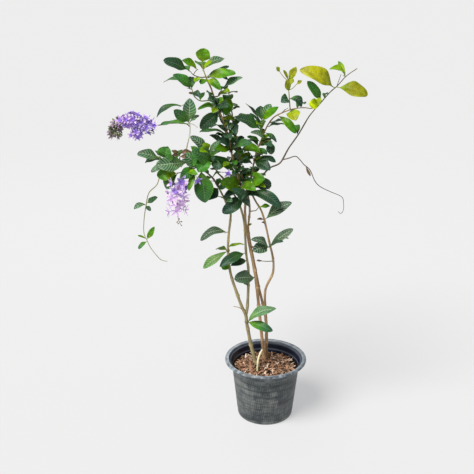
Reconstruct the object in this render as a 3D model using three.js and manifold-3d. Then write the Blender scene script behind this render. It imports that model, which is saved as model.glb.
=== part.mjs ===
// Potted sandpaper vine: a twining woody climber with violet racemes in a black plastic nursery pot.
// Millimetres, +Z up. The origin is the middle of the pot's flat base, and -Y is the plant's front.
import * as THREE from 'three';
import { mergeVertices } from 'three/addons/utils/BufferGeometryUtils.js';
import Module from 'manifold-3d';

const wasm = await Module();
wasm.setup();

// Pot: a 10 inch nursery pot with a rolled rim and a stepped collar.
const POT_HEIGHT = 198;
const RIM_RADIUS = 130;
const MOUTH_RADIUS = 117;
const RIM_DEPTH = 6;
const RIM_SLOPE = 4;
const RIM_ROUNDING = 3.4;
const LEDGE = 8;
const COLLAR_RADIUS = 109;
const COLLAR_DEPTH = 30;
const COLLAR_FLARE = 3;
const WALL_TOP_RADIUS = 106.5;
const BASE_RADIUS = 89;
const BASE_ROUNDING = 5;
const WALL = 2.6;
const FLOOR = 4;
const POT_SIDES = 28;
const DRAIN_COUNT = 8;
const DRAIN_RADIUS = 6;
const DRAIN_CIRCLE = 66;

// Potting mix: bark and coir, heaped a little round the canes.
const MIX_EDGE = 163;
const MIX_HEAP = 9;
const MIX_SIDES = 20;
const MIX_RINGS = [26, 52, 76, 96];
const MIX_ROUGHNESS = 2.2;
const CHIP_COUNT = 12;
const CHIP_SMALLEST = [9, 6, 6];
const CHIP_SPREAD = [11, 6, 3];
const CHIP_LEAN = 0.35;
const CHIP_MARGIN = 16;

// Plant: how thick blades and petals are, and how far pieces that touch stay apart.
const BLADE = 1.0;
const PETIOLE = 1.2;
const FOLD = 0.26;
const WAVE = 0.045;
const PETALS = 5;
const NOTCH = 0.36;
const CUPPING = 0.2;
const THROAT_FRONT = 3;
const THROAT_BACK = 1.6;
const STALK = 0.9;
const BUDS_BEGIN = 0.86;
const BUD_RADIUS = 2.6;
const BUD_LENGTH = 9;
const LONG_LEAF = 86;
const SHORT_LEAF = 52;
const CLEAR = 0.35;
const TIP_SINK = 2;
const COLLAR_LENGTH = 7;
const COLLAR_WALL = 2;
const CANE_SIDES = 6;
const CANE_STEP = 38;
const SHOOT_SIDES = 4;
const SHOOT_STEP = 19;
const TOLERANCE = 0.08;

const COLOURS = {
  pot: 0x2b3033,
  mix: 0x5b3a2a,
  cane: 0x8a7350,
  flower: 0xa794e0,
  old: 0x1f4f28,
  mid: 0x35702c,
  fresh: 0x588426,
  pale: 0x5d8a5c,
  veined: 0x2c5c3a,
  striped: 0x7f9c4c,
  gold: 0x9a962a,
  lime: 0x8aa62a,
  dry: 0x5a3b2c,
};
const DRY_NODES = ['basal_dry_twig', 'dried_cluster', 'old_stub'];

// Woody canes: node, what it grows from, radius at the root and at the tip, points of the centre line.
const CANES = [
  ["cane_left", null, 6.5, 2.6, [[-23, -6, 96], [-29, -8, 170], [-46, -11, 241], [-53, -12, 277],
    [-60, -14, 320], [-63, -15, 349], [-66, -17, 362], [-79, -20, 392], [-95, -25, 444], [-112, -30, 506],
    [-119, -30, 568], [-117, -26, 628], [-111, -18, 692], [-121, -14, 719], [-134, -14, 749],
    [-148, -18, 778]]],
  ["cane_left", "cane_left", 4.6, 2.4, [[-65, -17, 356], [-59, -12, 387], [-57, 0, 440], [-57, 6, 505],
    [-64, 2, 561], [-67, -2, 610], [-71, -4, 665], [-80, -2, 703], [-93, 2, 733], [-110, 4, 761],
    [-129, -2, 794], [-149, -10, 818]]],
  ["cane_front", null, 5.6, 2.3, [[-2, 24, 92], [-3, 24, 167], [-7, 24, 211], [-11, 24, 247],
    [-17, 23, 312],
    [-23, 22, 366], [-28, 21, 419], [-34, 19, 471], [-44, 17, 529], [-55, 15, 587], [-65, 12, 647],
    [-68, 11, 686], [-67, 9, 718], [-71, 6, 750], [-85, 6, 788], [-94, 8, 824], [-106, 10, 864],
    [-114, 10, 900], [-123, 8, 942], [-135, 4, 979], [-148, 0, 1012], [-157, -4, 1039], [-166, -7, 1067],
    [-176, -9, 1089]]],
  ["cane_back", null, 5.0, 1.9, [[0, 56, 98], [4, 56, 149], [3, 54, 202], [3, 48, 264], [1, 44, 309],
    [-7, 39, 358], [-18, 35, 405], [-27, 32, 452], [-39, 29, 518], [-50, 27, 575], [-57, 24, 626],
    [-56, 12, 662], [-54, -3, 692], [-55, -10, 719], [-60, -5, 752], [-70, 17, 782], [-84, 25, 817],
    [-85, 27, 853], [-88, 28, 880], [-93, 30, 910], [-99, 30, 940], [-105, 30, 976], [-109, 29, 1003],
    [-113, 28, 1028]]],
  ["cane_right", null, 4.8, 2.0, [[8, 40, 96], [6, 39, 156], [5, 38, 208], [4, 34, 262], [2, 28, 310],
    [-1, 24, 354], [-4, 18, 396], [-3, 14, 429], [5, 12, 454], [13, 11, 471], [20, 9, 492], [21, 8, 523],
    [16, 6, 554], [8, 3, 588], [-1, -2, 632], [-10, -6, 671], [-21, -8, 703], [-36, -9, 729],
    [-49, -2, 756],
    [-52, 8, 787], [-46, 14, 820], [-40, 16, 850], [-33, 16, 880], [-22, 14, 908], [-10, 10, 940]]],
  ["old_stub", null, 4.2, 3.0, [[-27, -42, 118], [-27, -38, 168], [-26, -34, 190], [-24, -28, 206],
    [-19, -21, 220], [-11, -14, 234]]],
];

// Shoots: node, what it grows from, radius at the root and at the tip, points of the centre line, leaves.
// A shoot with a single point is a pair or whorl of leaves on a swollen joint of the stem that carries it.
// Leaf: share of the way along, reach to its tip, width, turn of its upper face from the sky to the front
// in degrees, arch as a share of its length, tone.
const SHOOTS = [
  ["top_spray", "cane_front", 2.4, 1.3, [[-176, -9, 1089], [-183, -11, 1108], [-188, -12, 1125]], [
    [1.0, [60, 20, 25], 26, 40, 0.12, "pale"],
    [1.0, [25, -30, 25], 16, 50, 0.05, "lime"],
    [0.15, [-16, -38, -8], 22, 30, 0.05, "fresh"],
    [0.3, [84, -20, 13], 36, 38, 0.07, "fresh"],
    [0.3, [65, 45, 23], 20, 20, 0.02, "old"],
    [0.15, [40, -35, -24], 25, 50, 0.16, "fresh"],
    [0.7, [-25, 70, 15], 30, -20, 0.14, "mid"],
    [0.25, [62, 8, -6], 30, 24, 0.14, "old"]]],
  ["top_spray", "top_spray", 1.1, 0.9, [[-188, -12, 1125], [-189, -13, 1133], [-191, -14, 1142]], [
    [1.0, [8, -12, 41], 42, 78, 0.08, "fresh"]]],
  ["top_left_sprig", "top_spray", 1.7, 1.1, [[-181, -10, 1099], [-196, -14, 1099], [-214, -18, 1106],
    [-223, -20, 1116], [-229, -21, 1122]], [
    [1.0, [-67, -30, 32], 35, 52, 0.10, "old"],
    [0.4, [-4, -36, -8], 19, 40, 0.05, "lime"],
    [0.9, [-30, 65, -5], 30, -20, 0.15, "mid"]]],
  ["top_left_sprig", "top_left_sprig", 1.2, 1.0, [[-214, -18, 1106], [-209, -19, 1116],
    [-201, -20, 1123]], [
    [1.0, [-43, -12, 27], 27, 38, 0.14, "fresh"]]],
  ["upper_left_spray", "cane_front", 2.1, 1.2, [[-159, -3, 1030], [-176, -14, 1033], [-197, -26, 1035],
    [-213, -32, 1050], [-219, -34, 1071]], [
    [1.0, [-50, -25, 45], 31, 48, 0.14, "mid"],
    [1.0, [-5, 30, 30], 24, 60, 0.08, "old"],
    [0.98, [-80, 10, 18], 24, 8, 0.22, "mid"],
    [0.9, [22, -32, -10], 20, 52, 0.18, "old"],
    [0.7, [-17, -20, 16], 15, 30, 0.10, "dry"],
    [0.5, [-5, 55, 10], 26, -20, 0.15, "mid"],
    [0.2, [-5, -35, 30], 17, 40, 0.25, "mid"]]],
  ["upper_right_sprig", "cane_front", 2.0, 1.2, [[-157, -4, 1039], [-142, -6, 1047], [-136, -8, 1067]], [
    [1.0, [60, -20, 35], 27, 34, 0.10, "pale"],
    [0.75, [25, -40, 5], 20, 40, 0.10, "lime"],
    [0.95, [10, 54, -12], 28, -20, 0.14, "mid"]]],
  ["second_shoot_tip", "cane_back", 2.0, 1.2, [[-113, 28, 1028], [-116, 27, 1046], [-117, 27, 1059]], [
    [0.6, [25, -40, 10], 16, 4, 0.06, "dry"],
    [0.6, [-30, -25, 0], 18, 24, 0.10, "lime"],
    [0.35, [-10, -35, -50], 38, 66, 0.12, "fresh"],
    [0.4, [-4, 60, -38], 32, -14, 0.16, "mid"]]],
  ["leader_pair_upper", "cane_front", 0, 0, [[-148, 0, 1014]], [
    [0, [-25, -45, 30], 30, 50, 0.10, "pale"],
    [0, [0, -50, 33], 16, 55, 0.06, "pale"],
    [0, [-10, -50, -10], 20, 40, 0.06, "lime"],
    [0, [30, -45, 4], 34, 44, 0.14, "old"]]],
  ["leader_pair_middle", "cane_front", 0, 0, [[-141, 2, 994]], [
    [0, [-62, -24, 14], 30, 18, 0.22, "fresh"],
    [0, [-55, -55, -35], 38, 70, 0.12, "old"],
    [0, [-10, 75, 5], 34, -16, 0.18, "mid"]]],
  ["leader_pair_lower", "cane_front", 0, 0, [[-121, 8, 931]], [
    [0, [-80, -25, 10], 26, 10, 0.10, "mid"],
    [0, [-50, 70, 0], 34, -14, 0.18, "old"],
    [0, [8, -62, 0], 28, 52, 0.08, "old"]]],
  ["second_shoot_pair", "cane_back", 0, 0, [[-102, 30, 960]], [
    [0, [8, -58, -24], 24, 60, 0.14, "old"],
    [0, [-15, -55, -10], 16, 50, 0.10, "pale"],
    [0, [60, 45, 5], 34, -14, 0.18, "mid"]]],
  ["right_crown_spray", "cane_right", 2.3, 1.3, [[-17, 12, 922], [-20, 8, 946], [-20, 6, 965],
    [-19, 5, 977]], [
    [0.4, [-76, -30, 42], 38, 42, 0.14, "old"],
    [0.75, [-47, 15, 55], 24, -4, 0.03, "old"],
    [0.85, [-5, 25, 40], 30, 50, 0.10, "old"],
    [0.85, [45, -40, 50], 23, 55, 0.08, "fresh"],
    [1.0, [25, 20, 40], 26, 50, 0.16, "pale"],
    [0.5, [-15, -45, 21], 22, 40, 0.10, "lime"],
    [0.6, [-35, -10, 40], 10, 34, 0.10, "old"],
    [0.35, [-10, 85, 5], 32, -16, 0.16, "mid"]]],
  ["arching_branch", "cane_right", 2.3, 1.3, [[-10, 10, 940], [-2, 4, 959], [15, -4, 983], [37, -12, 997],
    [59, -18, 1007], [82, -22, 1013], [102, -22, 1014], [118, -17, 1011], [132, -12, 1012]], [
    [0.16, [38, -22, 11], 24, 6, 0.05, "old"],
    [0.08, [52, 22, 1], 26, 4, 0.07, "old"],
    [0.36, [52, -30, -47], 24, 58, 0.12, "fresh"],
    [0.60, [10, -42, -22], 40, 60, 0.12, "gold"],
    [0.44, [15, -30, 20], 10, 30, 0.04, "dry"],
    [0.68, [30, 60, 0], 26, -20, 0.14, "mid"]]],
  ["upright_young_shoot", "arching_branch", 1.8, 1.0, [[59, -18, 1007], [58, -16, 1026], [56, -15, 1049],
    [54, -14, 1072], [53, -14, 1093]], [
    [0.3, [-26, -25, 2], 32, 50, 0.26, "old"],
    [0.4, [35, -20, -22], 28, 36, 0.34, "old"],
    [0.6, [-10, -20, 35], 18, 62, 0.06, "gold"],
    [0.97, [20, -15, 40], 21, 62, 0.06, "gold"],
    [1.0, [-15, -10, 30], 9, 50, 0.03, "gold"],
    [0.75, [10, 35, 20], 20, 40, 0.06, "gold"]]],
  ["upright_young_shoot", "upright_young_shoot", 1.1, 0.9, [[53, -14, 1089], [39, -20, 1101],
    [27, -24, 1117]], [
    [0.97, [-10, -5, 15], 12, 50, 0.05, "gold"]]],
  ["upright_young_shoot", "upright_young_shoot", 1.1, 0.9, [[55, -14, 1061], [66, -18, 1069],
    [77, -20, 1082]], [
    [0.95, [15, -5, 10], 13, 40, 0.06, "gold"]]],
  ["runner_right", "cane_right", 2.8, 1.1, [[-50, 0, 762], [-34, -2, 784], [-14, -2, 810], [4, -4, 831],
    [28, -6, 842], [40, -8, 855], [59, -12, 894], [86, -16, 936], [115, -22, 990], [141, -28, 1024],
    [169, -32, 1059], [189, -35, 1078], [213, -40, 1107], [241, -46, 1129]], [
    [0.83, [-102, -20, 54], 50, 50, 0.20, "gold"],
    [0.84, [86, -16, -21], 44, 54, 0.16, "gold"],
    [0.92, [-50, -30, 25], 24, 34, 0.26, "lime"],
    [0.92, [-20, 20, 40], 15, 50, 0.04, "lime"],
    [0.72, [-45, -20, 60], 28, 54, 0.10, "mid"],
    [0.74, [5, -35, 20], 16, 40, 0.20, "mid"],
    [0.7, [-33, -14, 2], 30, 76, 0.10, "lime"],
    [0.71, [-16, -26, 14], 22, 74, 0.10, "lime"],
    [0.47, [-15, 70, 10], 28, -20, 0.14, "mid"]]],
  ["runner_right", "runner_right", 1.0, 0.7, [[189, -35, 1078], [194, -38, 1098], [198, -40, 1112]], []],
  ["tendril_right", "runner_right", 1.6, 0.7, [[40, -8, 855], [58, -14, 863], [78, -20, 871],
    [90, -24, 863],
    [103, -27, 848], [119, -30, 835], [127, -32, 820], [136, -34, 800], [151, -36, 784], [181, -38, 769],
    [215, -40, 754], [222, -41, 735], [222, -42, 713], [215, -43, 702], [207, -44, 709]], [
    [0.28, [15, -3, -30], 8, 70, 0.02, "dry"]]],
  ["left_branch", "cane_left", 2.9, 1.6, [[-148, -18, 778], [-162, -30, 806], [-185, -40, 831],
    [-208, -48, 846], [-233, -52, 861], [-262, -54, 868], [-290, -56, 868], [-313, -58, 872]], [
    [1.0, [-65, -10, 20], 32, 44, 0.16, "pale"],
    [0.93, [11, -20, 46], 50, 50, 0.20, "mid"],
    [0.97, [-50, 5, -10], 28, 30, 0.20, "pale"],
    [0.62, [-87, -32, 0], 44, 66, 0.12, "pale"],
    [0.80, [-65, -30, -26], 24, 40, 0.10, "pale"],
    [1.0, [-5, -40, 20], 14, 40, 0.05, "lime"],
    [0.45, [-35, -25, 48], 42, 60, 0.12, "pale"],
    [0.40, [12, -34, -91], 56, 68, 0.12, "mid"],
    [0.55, [20, -35, 30], 30, 60, 0.12, "mid"],
    [0.77, [-5, 85, 0], 32, -20, 0.16, "mid"],
    [0.89, [-40, 70, 5], 30, -16, 0.16, "mid"]]],
  ["left_lower_sprig", "left_branch", 2.1, 1.3, [[-208, -48, 846], [-227, -60, 841], [-248, -66, 836],
    [-264, -68, 834]], [
    [1.0, [-60, -5, -5], 38, 72, 0.14, "fresh"],
    [0.96, [-40, 22, -52], 34, 66, 0.12, "mid"],
    [0.12, [-38, -48, -18], 34, 66, 0.12, "mid"],
    [0.5, [30, -40, 0], 18, 50, 0.12, "fresh"]]],
  ["left_upper_spray", "left_branch", 2.3, 1.2, [[-238, -53, 862], [-241, -54, 881], [-234, -56, 914],
    [-226, -58, 946], [-225, -60, 973], [-229, -60, 982]], [
    [0.95, [-80, -15, 0], 30, 8, 0.06, "mid"],
    [1.0, [5, -10, 70], 38, 84, 0.10, "pale"],
    [0.98, [-40, -25, 40], 30, 66, 0.10, "mid"],
    [0.98, [30, -5, 20], 18, 30, 0.10, "pale"],
    [0.96, [-30, 70, 15], 32, -20, 0.14, "mid"]]],
  ["left_upper_spray", "left_upper_spray", 1.1, 0.9, [[-229, -60, 980], [-240, -52, 1006],
    [-244, -40, 1028]], [
    [0.97, [-75, -15, -33], 22, 24, 0.20, "old"]]],
  ["left_upper_spray", "left_upper_spray", 1.1, 0.9, [[-227, -60, 979], [-214, -62, 974],
    [-203, -64, 966]], []],
  ["crown_left_hanging", "cane_left", 2.2, 1.5, [[-149, -10, 818], [-156, -32, 842], [-167, -44, 868],
    [-174, -50, 894]], [
    [0.55, [-57, -47, 48], 45, 60, 0.14, "mid"],
    [0.85, [-32, -42, -38], 44, 72, 0.12, "mid"],
    [0.97, [-50, -15, 50], 30, 45, 0.12, "pale"],
    [0.97, [-15, -20, 30], 24, 50, 0.12, "lime"],
    [0.97, [-25, -40, 15], 22, 50, 0.12, "lime"],
    [0.97, [33, -30, 40], 16, 60, 0.06, "pale"],
    [0.72, [30, 80, 0], 32, -20, 0.14, "mid"],
    [0.67, [-10, 85, 0], 34, -20, 0.14, "mid"]]],
  ["pair_high_crown", "cane_back", 0, 0, [[-87, 28, 878]], [
    [0, [-70, 35, 5], 34, -14, 0.18, "old"],
    [0, [64, -40, 4], 34, 36, 0.17, "fresh"],
    [0, [5, 80, 5], 34, -16, 0.16, "mid"]]],
  ["pair_high_crown_front", "cane_front", 0, 0, [[-109, 10, 882]], [
    [0, [-52, -50, 16], 34, 42, 0.08, "fresh"],
    [0, [-34, -50, 45], 34, 44, 0.12, "old"],
    [0, [-62, -20, 50], 26, 24, 0.10, "pale"],
    [0, [61, -60, 36], 30, 40, 0.14, "mid"]]],
  ["right_crown_low_sprig", "cane_right", 2.0, 1.2, [[-27, 15, 894], [-13, 2, 909], [3, -8, 915],
    [11, -12, 911]], [
    [0.88, [1, -14, -37], 26, 50, 0.14, "old"],
    [0.62, [-47, -25, 31], 26, 30, 0.16, "pale"],
    [0.35, [25, -45, -2], 22, 34, 0.10, "old"],
    [0.82, [-4, 40, -12], 28, -24, 0.16, "old"]]],
  ["right_crown_pair", "cane_right", 0, 0, [[-40, 16, 850]], [
    [0, [62, -25, 2], 30, 20, 0.14, "old"],
    [0, [44, -50, -17], 36, 52, 0.12, "old"],
    [0, [-25, -15, 35], 14, 14, 0.03, "old"],
    [0, [50, 50, 10], 34, -16, 0.16, "mid"]]],
  ["crown_heart_pair", "cane_back", 0, 0, [[-85, 25, 830]], [
    [0, [25, -60, 40], 28, 40, 0.10, "old"],
    [0, [60, 55, 10], 34, -14, 0.16, "mid"],
    [0, [-35, 80, -5], 34, -14, 0.16, "old"]]],
  ["crown_heart_pair_low", "cane_front", 0, 0, [[-92, 7, 815]], [
    [0, [-73, -40, 56], 36, 40, 0.02, "mid"],
    [0, [17, -50, 21], 30, 44, 0.10, "old"],
    [0, [-12, -50, 32], 26, 44, 0.08, "mid"]]],
  ["crown_base_whorl", "cane_front", 0, 0, [[-79, 6, 776]], [
    [0, [-60, -50, 23], 44, 70, 0.12, "fresh"],
    [0, [44, -60, 2], 30, 50, 0.14, "fresh"],
    [0, [-30, 80, 0], 36, -14, 0.16, "mid"]]],
  ["crown_base_right", "cane_right", 0, 0, [[-52, 9, 790]], [
    [0, [42, -45, 16], 40, 66, 0.12, "fresh"],
    [0, [63, 10, -22], 36, 80, 0.14, "old"],
    [0, [30, 75, 15], 34, -14, 0.16, "mid"]]],
  ["crown_low_pair", "cane_back", 0, 0, [[-62, -3, 756]], [
    [0, [99, -42, -35], 36, 46, 0.22, "old"],
    [0, [-72, -26, -14], 28, 20, 0.20, "old"]]],
  ["crown_low_leaf_left", "cane_front", 0, 0, [[-69, 7, 738]], [
    [0, [-66, -50, -35], 40, 62, 0.14, "old"],
    [0, [-45, 40, 20], 28, 20, 0.14, "mid"]]],
  ["right_cane_leaf_high", "cane_right", 0, 0, [[-10, -6, 669]], [
    [0, [81, -10, 57], 38, 42, 0.14, "veined"]]],
  ["young_shoot_mid", "cane_back", 1.6, 1.0, [[-54, -7, 693], [-45, -12, 700], [-35, -16, 703],
    [-26, -18, 716]], [
    [0.96, [33, -8, 5], 18, 24, 0.08, "fresh"]]],
  ["low_leaf_left", "cane_left", 0, 0, [[-116, -25, 638]], [
    [0, [-85, -25, -20], 31, 30, 0.26, "veined"]]],
  ["low_young_leaf", "cane_left", 0, 0, [[-67, -4, 590]], [
    [0, [-50, -35, 5], 16, 10, 0.06, "lime"]]],
  ["low_leaf_far_left", "cane_left", 0, 0, [[-119, -30, 578]], [
    [0, [-75, -20, -50], 29, 34, 0.10, "striped"],
    [0, [-35, 50, -15], 24, 20, 0.10, "fresh"]]],
  ["low_leaf_dark", "cane_left", 0, 0, [[-64, -4, 562]], [
    [0, [-80, -55, -25], 34, 44, 0.16, "old"]]],
  ["low_leaf_small", "cane_left", 0, 0, [[-60, 4, 532]], [
    [0, [-50, -45, 0], 26, 40, 0.14, "old"]]],
  ["low_leaf_olive", "cane_left", 0, 0, [[-118, -30, 546]], [
    [0, [-18, -10, -26], 26, 64, 0.10, "fresh"]]],
  ["low_leaf_oval", "cane_front", 0, 0, [[-32, 18, 470]], [
    [0, [-66, -60, 22], 42, 58, 0.05, "veined"]]],
  ["right_cane_cluster", "cane_right", 2.0, 1.5, [[8, 3, 591], [7, -6, 585], [5, -12, 583]], [
    [0.94, [-55, -40, 40], 28, 40, 0.16, "veined"],
    [0.94, [40, -45, 35], 24, 30, 0.10, "old"],
    [0.62, [70, -15, 60], 27, 44, 0.10, "striped"],
    [0.98, [-50, -50, 5], 38, 50, 0.10, "veined"],
    [0.62, [60, 35, 10], 30, -20, 0.14, "mid"]]],
  ["right_cane_young_twig", "cane_right", 1.5, 0.9, [[21, 8, 531], [4, 2, 531], [-14, -3, 534]], [
    [0.97, [-20, -10, 5], 9, 20, 0.05, "dry"]]],
  ["basal_pair", "cane_left", 0, 0, [[-62, -16, 333]], [
    [0, [90, -30, 60], 34, 34, 0.22, "pale"],
    [0, [80, -45, -10], 30, 44, 0.14, "mid"]]],
  ["basal_dry_twig", "cane_left", 1.5, 0.9, [[-72, -18, 369], [-85, -26, 387], [-103, -30, 393]], []],
  ["runner_left", "left_branch", 1.6, 0.9, [[-286, -56, 868], [-298, -46, 850], [-314, -46, 826],
    [-325, -50, 794], [-349, -54, 770], [-359, -56, 730], [-366, -58, 688], [-368, -58, 647],
    [-360, -58, 624], [-351, -60, 603], [-336, -62, 581], [-319, -64, 563], [-301, -66, 559]], [
    [0.42, [35, -20, 25], 17, 56, 0.10, "old"],
    [0.43, [-35, -15, -10], 18, 40, 0.24, "pale"],
    [0.44, [15, -20, -10], 13, 56, 0.12, "old"],
    [0.74, [25, -10, 45], 17, 72, 0.10, "fresh"],
    [0.75, [-25, -15, -20], 14, 40, 0.14, "mid"],
    [0.73, [-25, 0, 10], 9, 20, 0.08, "fresh"]]],
  ["back_spray_high", "cane_front", 2.2, 1.2, [[-124, 8, 945], [-124, 40, 953], [-131, 76, 969],
    [-137, 104, 981]], [
    [0.45, [-45, 40, 0], 34, -16, 0.16, "mid"],
    [0.45, [45, 40, -5], 32, -16, 0.16, "old"],
    [0.9, [-45, 35, 10], 32, -26, 0.16, "mid"],
    [0.9, [45, 40, 10], 34, -26, 0.16, "fresh"],
    [0.97, [0, 50, 30], 30, -40, 0.14, "fresh"],
    [0.7, [5, 45, -45], 34, -40, 0.20, "old"]]],
  ["back_spray_mid", "cane_back", 2.4, 1.2, [[-85, 26, 856], [-83, 62, 853], [-89, 100, 858],
    [-95, 134, 862]], [
    [0.4, [-70, 46, 28], 34, -16, 0.10, "old"],
    [0.4, [70, 40, -15], 36, -16, 0.18, "old"],
    [0.83, [-55, 40, 15], 34, -26, 0.16, "mid"],
    [0.83, [60, 45, 10], 34, -26, 0.16, "mid"],
    [0.97, [0, 50, 20], 30, -40, 0.14, "fresh"],
    [0.63, [0, 35, -60], 34, -50, 0.22, "old"]]],
  ["back_spray_left", "left_branch", 2.2, 1.2, [[-196, -44, 838], [-200, -10, 848], [-208, 30, 849],
    [-218, 66, 849]], [
    [0.45, [-55, 5, -20], 34, -16, 0.18, "old"],
    [0.57, [50, 25, -25], 34, -16, 0.18, "old"],
    [0.83, [-45, 30, 10], 32, -26, 0.16, "mid"],
    [0.83, [45, 35, 5], 32, -26, 0.16, "mid"],
    [0.97, [-10, 40, 20], 30, -40, 0.14, "fresh"]]],
  ["back_spray_low", "cane_right", 2.2, 1.2, [[-52, 3, 770], [-50, 40, 762], [-55, 76, 764],
    [-61, 104, 765]], [
    [0.5, [-55, 25, -25], 36, -16, 0.18, "old"],
    [0.52, [60, 25, -25], 36, -16, 0.18, "old"],
    [0.86, [-50, 30, 10], 34, -26, 0.16, "mid"],
    [0.86, [55, 35, 5], 34, -26, 0.16, "mid"],
    [0.97, [0, 40, 25], 30, -40, 0.14, "fresh"]]],
  ["dried_cluster", "left_branch", 1.6, 1.1, [[-258, -54, 868], [-256, -48, 880], [-259, -48, 889]], [
    [0.5, [29, -14, 3], 13, 60, 0.20, "dry"],
    [0.7, [-24, -14, 0], 10, 50, 0.20, "dry"],
    [0.9, [36, -8, 6], 13, 60, 0.24, "dry"],
    [1.0, [-20, -6, 8], 10, 50, 0.20, "dry"]]],
];

// Flower stalks: node, what it grows from, radius at the root and at the tip, points of the centre line,
// shares of the way along where the open flowers begin and end, flowers, how far they stand out,
// their radius, buds at the tip.
const RACEMES = [
  ["raceme_left", "left_upper_spray", 1.6, 1.1, [[-225, -59, 966], [-240, -46, 974], [-277, -44, 974],
    [-310, -48, 970], [-335, -58, 970], [-356, -66, 979], [-379, -72, 991], [-402, -76, 988],
    [-422, -78, 974], [-436, -78, 963]],
    0.46, 0.86, 14, 17, 17, 0],
  ["raceme_left", "raceme_left", 1.1, 0.8, [[-356, -66, 979], [-367, -72, 964], [-381, -76, 945]],
    0.2, 1, 5, 15, 14, 1],
  ["raceme_left", "raceme_left", 1.1, 0.8, [[-414, -78, 988], [-425, -78, 980], [-432, -78, 963],
    [-440, -78, 945]], 0.10, 0.95, 8, 12.5, 13, 0],
  ["raceme_hanging", "left_lower_sprig", 1.6, 0.9, [[-248, -66, 836], [-255, -78, 826], [-259, -85, 806],
    [-262, -88, 788], [-264, -90, 764], [-264, -90, 736], [-264, -90, 712], [-260, -90, 694],
    [-255, -90, 683]],
    0.14, 0.72, 13, 23, 20, 6],
  ["single_flower_left", "left_lower_sprig", 1.1, 0.8, [[-219, -56, 841], [-214, -68, 834],
    [-208, -84, 827]],
    1, 1, 1, 14, 13.5, 0],
  ["single_flower_right", "cane_front", 1.1, 0.8, [[-92, 7, 808], [-107, -22, 816], [-113, -34, 821]],
    1, 1, 1, 12, 17, 0],
];

// A repeatable draw between 0 and 1.
function drawing(seed) {
  let state = seed;
  return () => {
    state = (state * 1103515245 + 12345) % 2147483648;
    return state / 2147483648;
  };
}

function vector(point) {
  return new THREE.Vector3(...point);
}

function solidOf(positions, faces) {
  const geometry = new THREE.BufferGeometry();
  geometry.setAttribute('position', new THREE.Float32BufferAttribute(positions, 3));
  geometry.setIndex(faces);
  return solidFrom(geometry);
}

function solidFrom(geometry) {
  geometry.deleteAttribute('normal');
  geometry.deleteAttribute('uv');
  const merged = mergeVertices(geometry, 1e-4);
  return new wasm.Manifold(new wasm.Mesh({
    numProp: 3,
    vertProperties: new Float32Array(merged.attributes.position.array),
    triVerts: new Uint32Array(merged.index.array),
  }));
}

function geometryFrom(solid) {
  const mesh = solid.asOriginal().simplify(TOLERANCE).getMesh();
  const geometry = new THREE.BufferGeometry();
  geometry.setAttribute('position', new THREE.BufferAttribute(new Float32Array(mesh.vertProperties), 3));
  geometry.setIndex(new THREE.BufferAttribute(new Uint32Array(mesh.triVerts), 1));
  geometry.computeVertexNormals();
  return geometry;
}

function joined(solids) {
  return solids.reduce((whole, piece) => whole.add(piece));
}

// A node keeps its one body: what a cut leaves loose is dropped.
function largest(solid) {
  const bodies = solid.decompose();
  bodies.sort((a, b) => b.volume() - a.volume());
  return bodies[0];
}

function boxesMeet(a, b) {
  return [0, 1, 2].every((i) => a.min[i] < b.max[i] && b.min[i] < a.max[i]);
}

function addPiece(group, name, solid, colour, roughness) {
  const material = new THREE.MeshStandardMaterial({ color: colour, roughness, metalness: 0 });
  const mesh = new THREE.Mesh(geometryFrom(solid), material);
  mesh.name = name;
  group.add(mesh);
}

function curveThrough(points) {
  return new THREE.CatmullRomCurve3(points.map(vector), false, 'catmullrom', 0.5);
}

// A round stem that tapers from its root to its tip, closed at both ends.
function stem(curve, rootRadius, tipRadius, sides, steps, overhang = 0) {
  const frames = curve.computeFrenetFrames(steps, false);
  const positions = [];
  const faces = [];
  for (let i = 0; i <= steps; i += 1) {
    const share = i / steps;
    const centre = curve.getPointAt(share);
    if (i === 0) centre.addScaledVector(frames.tangents[0], -overhang);
    if (i === steps) centre.addScaledVector(frames.tangents[steps], overhang);
    const radius = rootRadius + (tipRadius - rootRadius) * share;
    for (let j = 0; j < sides; j += 1) {
      const angle = (2 * Math.PI * j) / sides;
      const point = centre.clone()
        .addScaledVector(frames.normals[i], radius * Math.cos(angle))
        .addScaledVector(frames.binormals[i], radius * Math.sin(angle));
      positions.push(point.x, point.y, point.z);
    }
  }
  for (let i = 0; i < steps; i += 1) {
    for (let j = 0; j < sides; j += 1) {
      const a = i * sides + j;
      const b = i * sides + ((j + 1) % sides);
      faces.push(a, b, a + sides, b, b + sides, a + sides);
    }
  }
  const last = steps * sides;
  for (let j = 1; j < sides - 1; j += 1) {
    faces.push(0, j + 1, j, last, last + j, last + j + 1);
  }
  return solidOf(positions, faces);
}

// The face of a leaf or flower: along it, out of its upper side, and across it.
function leafFrame(reach, turn) {
  const along = reach.clone().normalize();
  const tilt = THREE.MathUtils.degToRad(turn);
  const up = new THREE.Vector3(0, -Math.sin(tilt), Math.cos(tilt));
  up.addScaledVector(along, -along.dot(up)).normalize();
  const across = new THREE.Vector3().crossVectors(up, along);
  return { along, up, across };
}

// Rows of a blade: share of the length, and half width as a share of the width.
const SHORT_ROWS = [[0.5, 0.5]];
const PLAIN_ROWS = [[0.32, 0.46], [0.66, 0.45]];
const LONG_ROWS = [[0.26, 0.4], [0.51, 0.5], [0.77, 0.36]];
const PETIOLE_SHARE = 0.08;

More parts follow.
